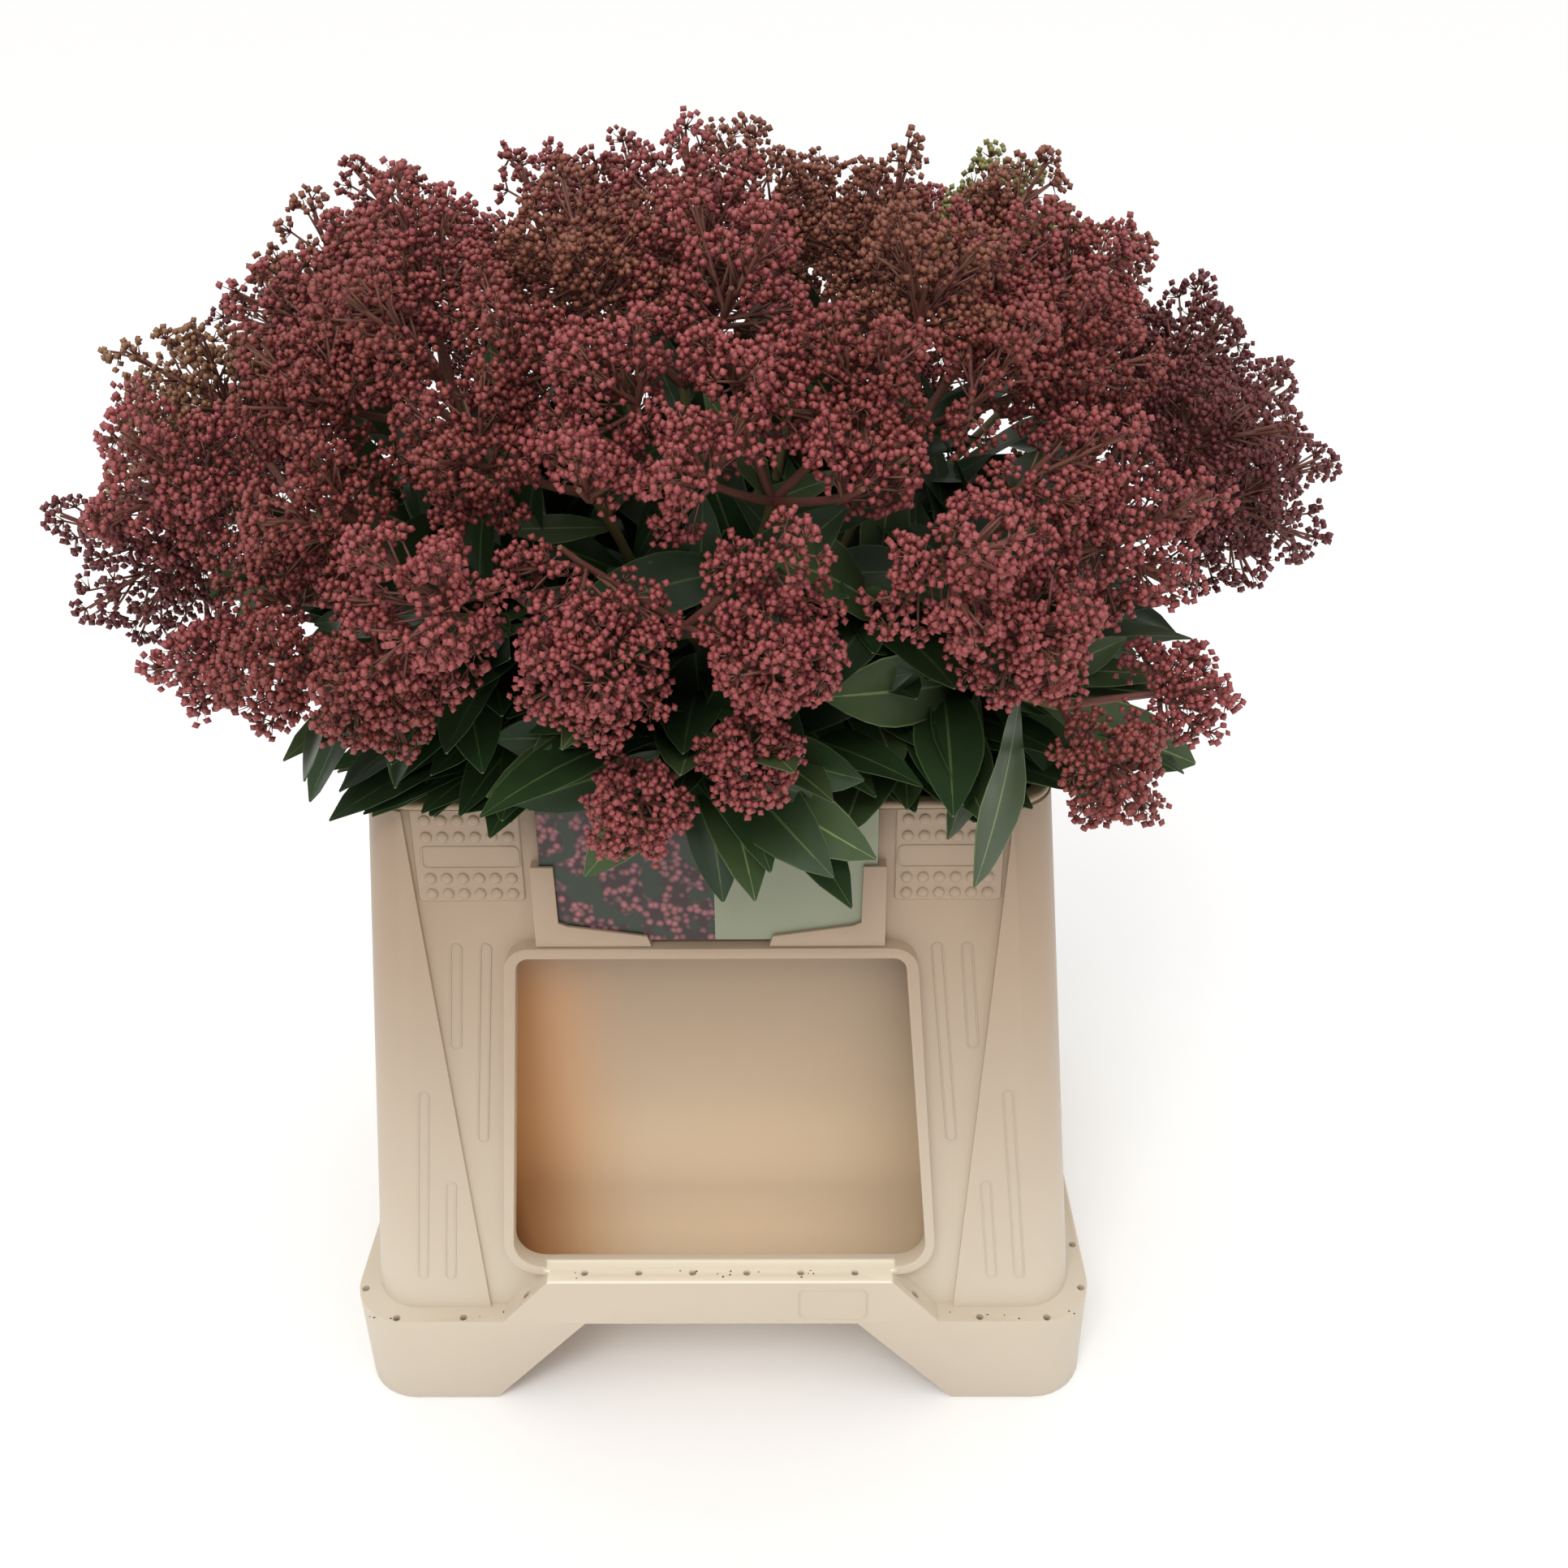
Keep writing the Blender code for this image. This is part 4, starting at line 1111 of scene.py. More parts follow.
@dataclass
class Crown:
    """Heads of buds, their twigs, the leaves and the green stems above the rim."""

    planting: Planting
    knots_long: int = 9
    knots_short: int = 6
    long_branch: float = 0.024
    lowest_knot: float = 0.34
    knot_span: float = 0.64
    knot_sink: float = 0.001
    knot_stray: float = 0.0008
    least_reach: float = 0.0015
    buds_per_knot: int = 9
    middle_bud_lean: float = 0.12
    bud_leans: tuple = (0.45, 1.35)
    bud_turns: tuple = (-0.5, 0.5)
    bud_reach: float = 0.0026
    bud_radii: tuple = (0.00118, 0.00152)
    bud_stalks: tuple = (0.0022, 0.0056)
    bud_stalk_radius: float = 0.00042
    knot_twig_radii: tuple = (0.00062, 0.00045)
    branch_radii: tuple = (0.0011, 0.0009, 0.0005)
    stalk_tip_radius: float = 0.0011
    filler_length: float = 0.076
    rim_leaves: int = 14
    rim_length: float = 0.084
    longest_flat_leaf: float = 0.104
    mouth_height: float = 0.309

    def __post_init__(self) -> None:
        """Start with empty shells and the seeded generator."""
        self.buds = {tint: Shell() for tint in Tint}
        self.twigs = {ring.name: Shell() for ring in RINGS}
        self.bark = Shell()
        self.leaf = Shell()
        self.rng = np.random.default_rng(20)

    @staticmethod
    def tint_of(shoot: Shoot, head: int) -> Tint:
        """Colour of one head: wine at the sides, rose and brick in front, a few green ones.

        Args:
            shoot: the head's shoot.
            head: its number on the shoot.

        Returns:
            The tint.
        """
        x, y, z = shoot.heads[head][0]
        chance = 0.5 + 0.5 * wobble(shoot.key, 21, head)
        edge = abs(x) / CROWN_SIZE[0]
        front = y < -0.085
        if front and 0.055 < x < 0.16 and z < 0.385 and chance < 0.55:
            return Tint.OLIVE
        if front and edge < 0.7:
            return Tint.ROSE if chance < 0.65 else Tint.BRICK
        if chance < 0.02:
            return Tint.GREEN
        if chance < 0.06:
            return Tint.OLIVE
        if chance < 0.19 or (0.02 < x < 0.12 and z > 0.44 and chance < 0.6):
            return Tint.RUSSET
        if edge > 0.60 and chance < 0.80:
            return Tint.WINE
        if chance < 0.60:
            return Tint.BRICK
        return Tint.ROSE if edge < 0.75 else Tint.WINE

    def grow_cluster(self, cluster: Cluster, tint: Tint, twigs: Shell) -> None:
        """Grow one side branch: ascending twigs along it, each ending in a knot of stalked buds.

        Args:
            cluster: the branch's place and size.
            tint: the buds' colour.
            twigs: where the wood is put.
        """
        rng, aim = self.rng, cluster.aim
        across, up = side_axes(aim)
        knots = self.knots_long if cluster.length > self.long_branch else self.knots_short
        step = np.arange(knots)
        t = self.lowest_knot + self.knot_span * ((step + 0.5) / knots) ** 0.8
        angle = GOLDEN_ANGLE * step + rng.uniform(0, 6.28) + rng.normal(0, 0.25, knots)
        radial = np.cos(angle)[:, None] * across + np.sin(angle)[:, None] * up
        inset = np.where(step % 5 == 3, 0.5, 0.95)
        out = np.maximum(envelope(t) * cluster.radius * inset - self.bud_reach, self.least_reach)
        place = cluster.at(t) - self.knot_sink * aim + radial * out[:, None]
        place = place + rng.normal(0, self.knot_stray, place.shape)
        begin = cluster.at(np.maximum(t - self.lowest_knot, 0.05))
        straight_twigs(twigs, begin, place, *self.knot_twig_radii)
        limb(twigs, cluster.at(np.array((0.0, 0.5, 0.92))), np.array(self.branch_radii), 4)
        self.grow_knots(place, unit(0.9 * radial + 0.75 * aim), tint, twigs)

    def grow_knots(self, place: np.ndarray, aim: np.ndarray, tint: Tint, twigs: Shell) -> None:
        """Grow stalked buds at each knot, one along its aim and the rest leaning out.

        Args:
            place: one row for each knot.
            aim: its direction.
            tint: the buds' colour.
            twigs: where the stalks are put.
        """
        rng, count = self.rng, len(place)
        directions = []
        for k in range(self.buds_per_knot):
            lean = np.full(count, self.middle_bud_lean) if k == 0 else rng.uniform(*self.bud_leans, count)
            turn = 2 * math.pi * k / (self.buds_per_knot - 1) + rng.uniform(*self.bud_turns, count)
            directions.append(unit(leaned(aim, turn, lean)))
        starts, directions = np.tile(place, (self.buds_per_knot, 1)), np.vstack(directions)
        foot = starts + directions * rng.uniform(*self.bud_stalks, len(starts))[:, None]
        size = rng.uniform(*self.bud_radii, len(starts))[:, None]
        spikes(twigs, starts, foot + directions * size, self.bud_stalk_radius)
        across = side_axes(directions)[0]
        frames = np.stack((across, np.cross(directions, across), directions), axis=1)
        self.buds[tint].add_many(*bud_template(), foot, frames, np.repeat(size, 3, axis=1))

    def grow_stalks(self, shoot: Shoot) -> None:
        """The green stem from the rim to the fork, and one stalk to each head.

        Args:
            shoot: the shoot they belong to.
        """
        t = np.linspace(0.0, FORK_AT, 14)
        radii = RACHIS_RADIUS + (FORK_RADIUS - RACHIS_RADIUS) * t / FORK_AT
        radii = radii * (1.0 + 0.06 * np.cos(t * 60.0))
        limb(self.bark, bezier(shoot.curve, t), radii, 8, relief=0.05)
        s = np.linspace(0.0, 1.0, 5)[:, None]
        sag = 0.006 * s * (1 - s) * shoot.outward
        for base, direction in shoot.heads:
            path = np.vstack((shoot.fork * (1 - s) + base * s - sag, base + direction * 0.012))
            radii = np.linspace(FORK_RADIUS, self.stalk_tip_radius, len(path))
            limb(self.twigs[shoot.ring.name], path, radii, 5, relief=0.06)

    def keep_first(self, blades: Iterator[Blade], mind_card: bool = True) -> None:
        """Keep the first of some blades that clears the bucket.

        Args:
            blades: one leaf in each way that may be tried.
            mind_card: whether it also has to leave the card in sight.
        """
        for blade in blades:
            points = blade.middle_points()
            if clears_bucket(points) and not (mind_card and hides_card(points)):
                blade.add_to(self.leaf)
                break

    def filler_blades(self, shoot: Shoot, k: int) -> Iterator[Blade]:
        """Ways to set leaf k of those low on the shoot, dark between the stems.

        Args:
            shoot: the shoot it grows on.
            k: the leaf's number.

        Returns:
            One leaf for each turn that may be tried.
        """
        point, direction = shoot.along(0.04 + 0.50 * k / shoot.ring.filler_leaves)
        turn = GOLDEN_ANGLE * (k + 7) + math.pi * wobble(shoot.key, 41)
        lean = math.radians(50.0 + 18.0 * wobble(shoot.key, 42, k))
        length = self.filler_length * (1.0 + 0.18 * wobble(shoot.key, 43, k))
        for attempt in range(4):
            place = LeafPlace(point, leaned(direction, turn + 0.6 * attempt, lean), direction, length)
            yield Blade(place, shoot.key * 40 + 20 + k, curl=0.22)

    def rim_blades(self, shoot: Shoot, k: int) -> Iterator[Blade]:
        """Ways to set leaf k of those that arch out level over the rim and hang down.

        Args:
            shoot: the shoot it grows on.
            k: the leaf's number.

        Returns:
            One leaf for each turn and rise that may be tried.
        """
        level = unit(shoot.outward * LEVEL)
        across = np.array((-level[1], level[0], 0.0))
        point = bezier(shoot.curve, 0.04 + 0.46 * k / self.rim_leaves)
        length = self.rim_length * (1.0 + 0.16 * wobble(shoot.key, 53, k))
        for attempt in range(5):
            turn = 1.15 * wobble(shoot.key, 51, k) + 0.4 * attempt * (-1) ** attempt
            rise = 0.36 + 0.52 * wobble(shoot.key, 52, k) + 0.08 * attempt
            aim = unit(math.cos(turn) * level + math.sin(turn) * across + rise * UPRIGHT)
            yield Blade(LeafPlace(point, aim, UPRIGHT, length), shoot.key * 40 + 30 + k,
                        curl=0.34 + 0.12 * wobble(shoot.key, 54, k))

    def flat_blades(self, shoot: Shoot, k: int) -> Iterator[Blade]:
        """Ways to set leaf k of those that lie over the nearest corner of the mouth.

        Args:
            shoot: the shoot it grows on.
            k: the leaf's number.

        Returns:
            One leaf for each height that may be tried.
        """
        corner = np.array((SIZES.tub_half_x, SIZES.tub_half_y)) * np.sign(shoot.neck[:2])
        point = bezier(shoot.curve, 0.05 + 0.02 * k)
        stray = 0.006 * wobble(shoot.key, 61, k) * np.array((1.0, -1.0, 0.0))
        for attempt in range(5):
            target = np.array((*(corner * CORNER_SHARES[k]), self.mouth_height + 0.004 * attempt)) + stray
            length = min(1.25 * float(np.linalg.norm(target - point)), self.longest_flat_leaf)
            yield Blade(LeafPlace(point, unit(target - point), UPRIGHT, length), shoot.key * 40 + 50 + k,
                        curl=0.12 + 0.04 * wobble(shoot.key, 64, k))

    def grow_leaves(self, shoot: Shoot, clusters: list[Cluster]) -> None:
        """Grow the solid part's leaves and the further ones low on the shoot and over the rim.

        Args:
            shoot: the shoot they grow on.
            clusters: the solid part's side branches, which its leaves keep out of.
        """
        for number, place in enumerate(self.planting.leaves(shoot, clusters)):
            Blade(place, shoot.key * 40 + number).add_to(self.leaf)
        for k in range(shoot.ring.filler_leaves):
            self.keep_first(self.filler_blades(shoot, k))
        if shoot.ring.outer:
            for k in range(self.rim_leaves):
                self.keep_first(self.rim_blades(shoot, k), mind_card=wobble(shoot.key, 55, k) < 0.6)
            for k in range(len(CORNER_SHARES)):
                self.keep_first(self.flat_blades(shoot, k))

    def build(self, group: bpy.types.NodeTree) -> list[bpy.types.Object]:
        """Grow every shoot and make the joined pieces, one for each kind and colour.

        Args:
            group: the mottle group.

        Returns:
            The pieces.
        """
        for shoot in self.planting.shoots:
            for cluster in self.planting.dome(shoot):
                self.grow_cluster(cluster, self.tint_of(shoot, cluster.head), self.twigs[shoot.ring.name])
            self.grow_stalks(shoot)
            self.grow_leaves(shoot, self.planting.clusters(shoot))
        pieces = []
        for tint, shell in self.buds.items():
            pieces.append(shell.build(f"buds_{tint.value}", [BUD_FINISHES[tint].material(group)]))
        skin = TWIG.material(group)
        for name, shell in self.twigs.items():
            pieces.append(shell.build(f"twigs_{name}", [skin]))
        pieces.append(self.bark.build("green_stems", [BARK.material(group)]))
        pieces.append(self.leaf.build("leaves", [
            leaf_material(LEAF_TOP, group, LEAF_RIB), LEAF_UNDER.material(group),
            leaf_material(LEAF_YOUNG, group, LEAF_RIB_YOUNG)]))
        for item in pieces:
            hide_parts(*(f"spray_{shoot.name}" for shoot in self.planting.shoots))
        return pieces


@dataclass
class Stems:
    """The stems that stand in the tub, from its floor to the rim."""

    planting: Planting
    bow: float = 0.003
    rings: int = 16
    sides: int = 10
    relief: float = 0.07

    def build(self, group: bpy.types.NodeTree) -> bpy.types.Object:
        """Make one joined piece of bowed stems with the bark's relief.

        The bow at share t is 4 * bow * t * (1 - t)^2, so that it is most near the foot.

        Args:
            group: the mottle group.

        Returns:
            The piece.
        """
        shell = Shell()
        t = np.linspace(0.0, 1.0, self.rings)[:, None]
        radii = STEM_FOOT_RADIUS + (STEM_TIP_RADIUS - STEM_FOOT_RADIUS) * t[:, 0]
        for shoot in self.planting.shoots:
            bow = self.bow * wobble(shoot.key, 12) * np.array((1.0, -1.0, 0.0))
            path = shoot.foot + (shoot.neck - shoot.foot) * t + 4 * t * (1 - t) ** 2 * bow
            limb(shell, path, radii, self.sides, relief=self.relief)
        item = shell.build("stems", [BARK.material(group)])
        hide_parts(*(f"stem_{shoot.name}" for shoot in self.planting.shoots))
        return item


# The bucket


CREASE = math.radians(40)
OVERCUT = 0.02
WELD_REACH = 0.00001


def rounded_rectangle(half_x: float, half_y: float, corner: float, steps: int) -> np.ndarray:
    """Outline of a rectangle with rounded corners.

    Args:
        half_x: half its width.
        half_y: half its depth.
        corner: radius of its corners.
        steps: faces round each corner.

    Returns:
        Rows of x, y, counter-clockwise.
    """
    rows = []
    for quarter, signs in enumerate(((1, 1), (-1, 1), (-1, -1), (1, -1))):
        angle = math.pi / 2 * (quarter + np.arange(steps + 1) / steps)
        centre = np.array(signs) * (half_x - corner, half_y - corner)
        rows.append(centre + corner * np.stack((np.cos(angle), np.sin(angle)), axis=1))
    return np.vstack(rows)


def settle(item: bpy.types.Object) -> None:
    """Write the modifiers' result into the object's own mesh.

    Args:
        item: the object, which is left without modifiers.
    """
    graph = bpy.context.evaluated_depsgraph_get()
    mesh = bpy.data.meshes.new_from_object(item.evaluated_get(graph))
    item.modifiers.clear()
    item.data = mesh


def welded(name: str, *skins: list[np.ndarray]) -> bpy.types.Object:
    """Solid inside one or more closed skins, with points that meet joined.

    Args:
        name: name of the object.
        skins: for each skin its successive rings, as rows of x, y, z.

    Returns:
        The solid.
    """
    shell = Shell()
    for rings in skins:
        shell.add_closed(rings)
    item = shell.build(name, [], smooth=False)
    item.modifiers.new("weld", "WELD").merge_threshold = WELD_REACH
    settle(item)
    return item


def loft(name: str, levels: list, steps: int = 8) -> bpy.types.Object:
    """Solid over levels of (height, half width, half depth, corner)."""
    return welded(name, [at_height(rounded_rectangle(half_x, half_y, corner, steps), z)
                         for z, half_x, half_y, corner in levels])


def mirrored(right_half: list) -> list:
    """An outline of (x, z) and its mirror image, as one closed loop."""
    return right_half + [(-x, z) for x, z in reversed(right_half)]


def level(y: float) -> Callable:
    """A depth that is the same at every height."""
    return lambda z: y


def off_face(side: int, proud: float) -> Callable:
    """The depth, at each height, of a sheet proud of the front (1) or the back (-1) face."""
    return lambda z: side * (SIZES.face_y(z) - proud)


def prism(name: str, outline: list, front: Callable, back: Callable) -> bpy.types.Object:
    """Solid between two depths of an upright outline.

    Args:
        name: name of the object.
        outline: closed loop of (x, z).
        front: gives one y from z.
        back: gives the other.

    Returns:
        The solid.
    """
    area = sum(a[0] * b[1] - b[0] * a[1] for a, b in zip(outline, outline[1:] + outline[:1]))
    outline = outline if area >= 0 else outline[::-1]
    sheets = [np.array([(x, depth(z), z) for x, z in outline]) for depth in (front, back)]
    return welded(name, sorted(sheets, key=lambda sheet: -sheet[0, 1]))


def combine(target: bpy.types.Object, operand: bpy.types.Object, operation: str = "DIFFERENCE") -> None:
    """Apply one Boolean and remove its operand.

    Args:
        target: the solid that is changed.
        operand: the solid that is cut away or joined on.
        operation: the Boolean's name.
    """
    modifier = target.modifiers.new(operand.name, "BOOLEAN")
    modifier.operation = operation
    modifier.solver = "EXACT"
    modifier.object = operand
    settle(target)
    bpy.data.objects.remove(operand, do_unlink=True)


def dress(item: bpy.types.Object, node: str) -> bpy.types.Object:
    """Shade a piece smooth up to the crease angle and hide the node that it replaces.

    Args:
        item: the piece.
        node: the node that it replaces.

    Returns:
        The piece.
    """
    item.data.shade_smooth()
    item.data.set_sharp_from_angle(angle=CREASE)
    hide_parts(node)
    return item


@dataclass(frozen=True)
class PillMark:
    """A raised outline of long rounded shape on the sleeve: its top and foot, (x, z)."""

    top: tuple
    foot: tuple
    recessed: bool


PILLS = (
    PillMark((0.1030, 0.235), (0.1075, 0.189), True),
    PillMark((0.0910, 0.235), (0.1004, 0.142), True),
    PillMark((0.1230, 0.165), (0.1334, 0.069), False),
    PillMark((0.1160, 0.118), (0.1210, 0.069), False),
)
HOLDER = ((0.0695, 0.2395), (0.0695, 0.2747), (0.0605, 0.2747), (0.0600, 0.2500),
          (0.0565, 0.2485), (0.0250, 0.2440), (0.0235, 0.2395))
FIRST_HOLE = (-0.0598, -0.1327, 0.070)
PAIRED_HOLES = ((0.0865, -0.1327, 0.060), (0.146, -0.1350, 0.045), (0.116, -0.1347, 0.045),
                (0.164, -0.118, 0.045))
LONE_HOLE = (0.1643, -0.0922, 0.045)
STUD_PROFILE = ((0.0023, -0.0004), (0.0022, 0.0005), (0.0018, 0.0009), (0.0009, 0.0011))
STUD_ROWS = (0.2925, 0.2854, 0.2674, 0.2606)
RAISED_TOP = 0.076


@dataclass
class Sleeve:
    """Outer wall of the bucket: recessed faces, windows with a lip, holders, ledge and marks."""

    recess: float = 0.0020
    recess_foot_half: float = 0.1046
    recess_top_half: float = 0.1192
    raised_top_half: float = 0.075
    raised_foot_half: float = 0.0975
    raised_hollow_foot: float = 0.0245
    notch_top_half: float = 0.061
    notch_foot_half: float = 0.105
    notch_height: float = 0.049
    window_top_half: float = 0.078
    window_foot_half: float = 0.0915
    window_top: float = 0.2345
    window_foot: float = 0.0775
    window_top_corner: float = 0.005
    window_foot_corner: float = 0.014
    lip_width: float = 0.0044
    lip_proud: float = 0.0045
    lip_foot_half: float = 0.0775
    lip_foot_height: float = 0.004
    lip_foot_spare: float = 0.0015
    hole_radius: float = 0.0017
    hole_sides: int = 14
    hole_step: float = 0.0239
    hole_reach: tuple = (-0.006, 0.014)
    pad_half: tuple = (0.0212, 0.0205)
    pad_corner: float = 0.002
    pad_centre: tuple = (0.0942, 0.2775)
    pad_proud: float = 0.0007
    first_stud: float = 0.0777
    stud_step: float = 0.0064
    stud_sides: int = 14
    plate: tuple = (0.0190, 0.0046, 0.0022)
    plate_centre: tuple = (0.0933, 0.2764)
    plate_bead: float = 0.00055
    pill_radius: float = 0.0021
    pill_bead: float = 0.00045
    shield: tuple = (0.0150, 0.0090, 0.003)
    shield_centre: tuple = (0.050, 0.0615)
    shield_bead: float = 0.0004
    bead_sides: int = 6
    soft_edge: float = 0.0008
    grains: int = 34
    marks: Shell = field(default_factory=Shell)

    def walls(self, inset: float, foot: float, ledge: float, top: float) -> list:
        """Levels of the base ring and the sloping wall over it.

        Args:
            inset: how far inside the outer faces they run.
            foot: height of the lowest level.
            ledge: height of the step between ring and wall.
            top: height of the highest level.

        Returns:
            Rows of height, half width, half depth and corner.
        """
        ring = (SIZES.width / 2 - inset, SIZES.depth / 2 - inset, SIZES.base_corner - inset)
        wall = [(z, SIZES.sleeve_half(z, SIZES.width) - inset, SIZES.sleeve_half(z, SIZES.depth) - inset,
                 SIZES.body_corner - inset) for z in (ledge, top)]
        return [(foot, *ring), (ledge, *ring), *wall]

    def window_outline(self, grow: float = 0.0) -> list:
        """Outline of the window with its rounded corners.

        Args:
            grow: how much larger it is on every side.

        Returns:
            Closed loop of (x, z).
        """
        top_half, foot_half = self.window_top_half + grow, self.window_foot_half + grow
        top, foot = self.window_top + grow, self.window_foot - grow
        slope = (foot_half - top_half) / (top - foot)
        points = []
        for end, sign, corner, angles in ((foot, 1, self.window_foot_corner, np.linspace(-90, 0, 9)),
                                          (top, -1, self.window_top_corner, np.linspace(0, 90, 6))):
            for angle in np.radians(angles):
                z = end + sign * (corner + grow) * (1 + sign * math.sin(angle))
                inset = (corner + grow) * (1 - math.cos(angle))
                points.append((foot_half - slope * (z - foot) - inset, z))
        return mirrored(points)

    def cut_and_join(self, item: bpy.types.Object) -> None:
        """Recess both faces, then add ledge, lips and holders, and cut the openings.

        Args:
            item: the sleeve's wall, which is changed.
        """
        wall, ledge, half_y = SIZES.wall, SIZES.ledge, SIZES.depth / 2
        through, sunk = half_y + OVERCUT, -0.8 * wall
        recess = mirrored([(self.recess_foot_half, ledge), (self.recess_top_half, SIZES.height + 0.01)])
        for side in (1, -1):
            combine(item, prism("recess", recess, level(-side * through), off_face(side, -self.recess)))
        slope = (self.raised_foot_half - self.raised_top_half) / (RAISED_TOP - ledge)
        raised = mirrored([(self.raised_foot_half + slope * 2 * wall, ledge - 2 * wall),
                           (self.raised_top_half, RAISED_TOP)])
        combine(item, prism("raised", raised, level(-half_y), level(half_y)), "UNION")
        lip = self.window_outline(self.lip_width)
        lip_foot = mirrored([(self.lip_foot_half, RAISED_TOP),
                             (self.lip_foot_half, RAISED_TOP + self.lip_foot_height)])
        for side in (1, -1):
            back = off_face(side, sunk)
            combine(item, prism("lip", lip, off_face(side, self.lip_proud), back), "UNION")
            past_lip = off_face(side, self.lip_proud + self.lip_foot_spare)
            combine(item, prism("lip_foot", lip_foot, past_lip, off_face(side, 0.0)))
            for hand in (-1, 1):
                corner = [(hand * x, z) for x, z in HOLDER]
                combine(item, prism("holder", corner, off_face(side, HOLDER_PROUD), back), "UNION")
        inside = self.walls(wall, -OVERCUT, ledge - wall, SIZES.height + OVERCUT)
        combine(item, loft("sleeve_hollow", inside))
        foot = self.raised_hollow_foot
        hollow = mirrored([(self.raised_foot_half - wall + slope * (ledge - foot), foot),
                           (self.raised_top_half - wall / 2, RAISED_TOP - wall)])
        combine(item, prism("ledge_hollow", hollow, level(wall - half_y), level(half_y - wall)))
        slope = (self.notch_foot_half - self.notch_top_half) / self.notch_height
        notch = mirrored([(self.notch_foot_half + slope * OVERCUT, -OVERCUT),
                          (self.notch_top_half, self.notch_height)])
        combine(item, prism("notch", notch, level(-through), level(through)))
        combine(item, prism("window", self.window_outline(), level(-through), level(through)))
        slot_half = CARD_HALF + SIZES.room
        slot = mirrored([(slot_half, CARD_FOOT - SIZES.room), (slot_half, CARD_TOP)])
        for side in (1, -1):
            combine(item, prism("slot", slot, off_face(side, CARD_FRONT + SIZES.room),
                                off_face(side, CARD_REAR - SIZES.room)))
        self.drill(item)

    def drill(self, item: bpy.types.Object) -> None:
        """Drain holes in the raised ledge, its slopes and the base ring's shelf.

        Args:
            item: the sleeve, which is changed.
        """
        x, y, z = FIRST_HOLE
        places = [(x + self.hole_step * k, y, z) for k in range(6)] + [LONE_HOLE]
        places += [(hand * x, y, z) for x, y, z in PAIRED_HOLES for hand in (1, -1)]
        skins = []
        for x, y, z in places:
            for side in (1, -1):
                disc = circle(self.hole_radius, self.hole_sides) + (x, side * y)
                skins.append([at_height(disc, z + reach) for reach in self.hole_reach])
        combine(item, welded("holes", *skins))

    def on_face(self, outline: np.ndarray, proud: float, side: int, floor: float) -> np.ndarray:
        """Set an outline on a long face.

        Args:
            outline: rows of x, z.
            proud: its height above the floor.
            side: 1 for the front face and -1 for the back.
            floor: how far the floor is set back from the wall.

        Returns:
            Rows of x, y, z.
        """
        x, z = outline.T
        return np.stack((side * x, side * (SIZES.face_y(z) + floor - proud), z), axis=-1)

    def bead(self, loop: np.ndarray, radius: float, place: Callable) -> None:
        """Half-round bead along a closed loop of (x, z), sunk into the surface it lies on.

        At angle a of its section it is radius * cos(a) wide and 0.8 * radius * sin(a) proud.

        Args:
            loop: rows of x, z.
            radius: half its width.
            place: gives rows of x, y, z from an outline and how proud it stands.
        """
        along = unit(np.roll(loop, -1, axis=0) - np.roll(loop, 1, axis=0))
        outward = np.stack((along[:, 1], -along[:, 0]), axis=1)
        section = radius * circle(1.0, self.bead_sides) * (1.0, 0.8)
        rows = np.stack([place(loop + outward * wide, proud) for wide, proud in section], axis=1)
        self.marks.add(rows, ring_quads(len(loop), self.bead_sides, closed=True))

    def stud(self, x: float, z: float, side: int) -> None:
        """Low round stud with a softened edge, on the pad.

        Args:
            x: place across the face.
            z: its height.
            side: 1 for the front face and -1 for the back.
        """
        floor = self.recess - self.pad_proud
        self.marks.add_closed([self.on_face(circle(radius, self.stud_sides) + (x, z), proud, side, floor)
                               for radius, proud in STUD_PROFILE])

    def pad(self, hand: int, side: int) -> None:
        """Thin plate with rounded corners and a softened edge, in the recess, for the studs.

        Args:
            hand: 1 for the right half of the face and -1 for the left.
            side: 1 for the front face and -1 for the back.
        """
        (half_x, half_z), (x, z), proud = self.pad_half, self.pad_centre, self.pad_proud
        rings = []
        for shrink, height in ((0.0, -0.0006), (0.0, proud - 0.0004), (0.0005, proud)):
            outline = rounded_rectangle(half_x - shrink, half_z - shrink, self.pad_corner - shrink, 5)
            rings.append(self.on_face(outline + (hand * x, z), height, side, self.recess))
        self.marks.add_closed(rings)

    def pill(self, pill: PillMark, hand: int, side: int) -> None:
        """Long rounded outline from the mark's top to its foot.

        Args:
            pill: the mark.
            hand: 1 for the right half of the face and -1 for the left.
            side: 1 for the front face and -1 for the back.
        """
        top, foot = np.array(pill.top), np.array(pill.foot)
        along = unit(foot - top)
        across = np.array((along[1], -along[0]))
        angle = np.linspace(0, math.pi, 9)[:, None]
        arc = self.pill_radius * (np.cos(angle) * across - np.sin(angle) * along)
        loop = np.vstack((top + arc, foot - arc)) * (hand, 1.0)
        floor = self.recess if pill.recessed else 0.0
        self.bead(loop, self.pill_bead, lambda outline, proud: self.on_face(outline, proud, side, floor))

    def add_marks(self) -> None:
        """Studded panels, bare plates and long raised outlines on both long faces."""
        floor = self.recess - self.pad_proud
        (x, z), plate = self.plate_centre, rounded_rectangle(*self.plate, 6)
        for side in (1, -1):
            for hand in (1, -1):
                self.pad(hand, side)
                for row in STUD_ROWS:
                    for k in range(6):
                        self.stud(hand * (self.first_stud + self.stud_step * k), row, side)
                self.bead(plate + (hand * x, z), self.plate_bead,
                          lambda outline, proud: self.on_face(outline, proud, side, floor))
                for pill in PILLS:
                    self.pill(pill, hand, side)
        shield = rounded_rectangle(*self.shield, 6) + self.shield_centre
        self.bead(shield, self.shield_bead,
                  lambda outline, proud: np.insert(outline, 1, -SIZES.depth / 2 - proud, axis=1))

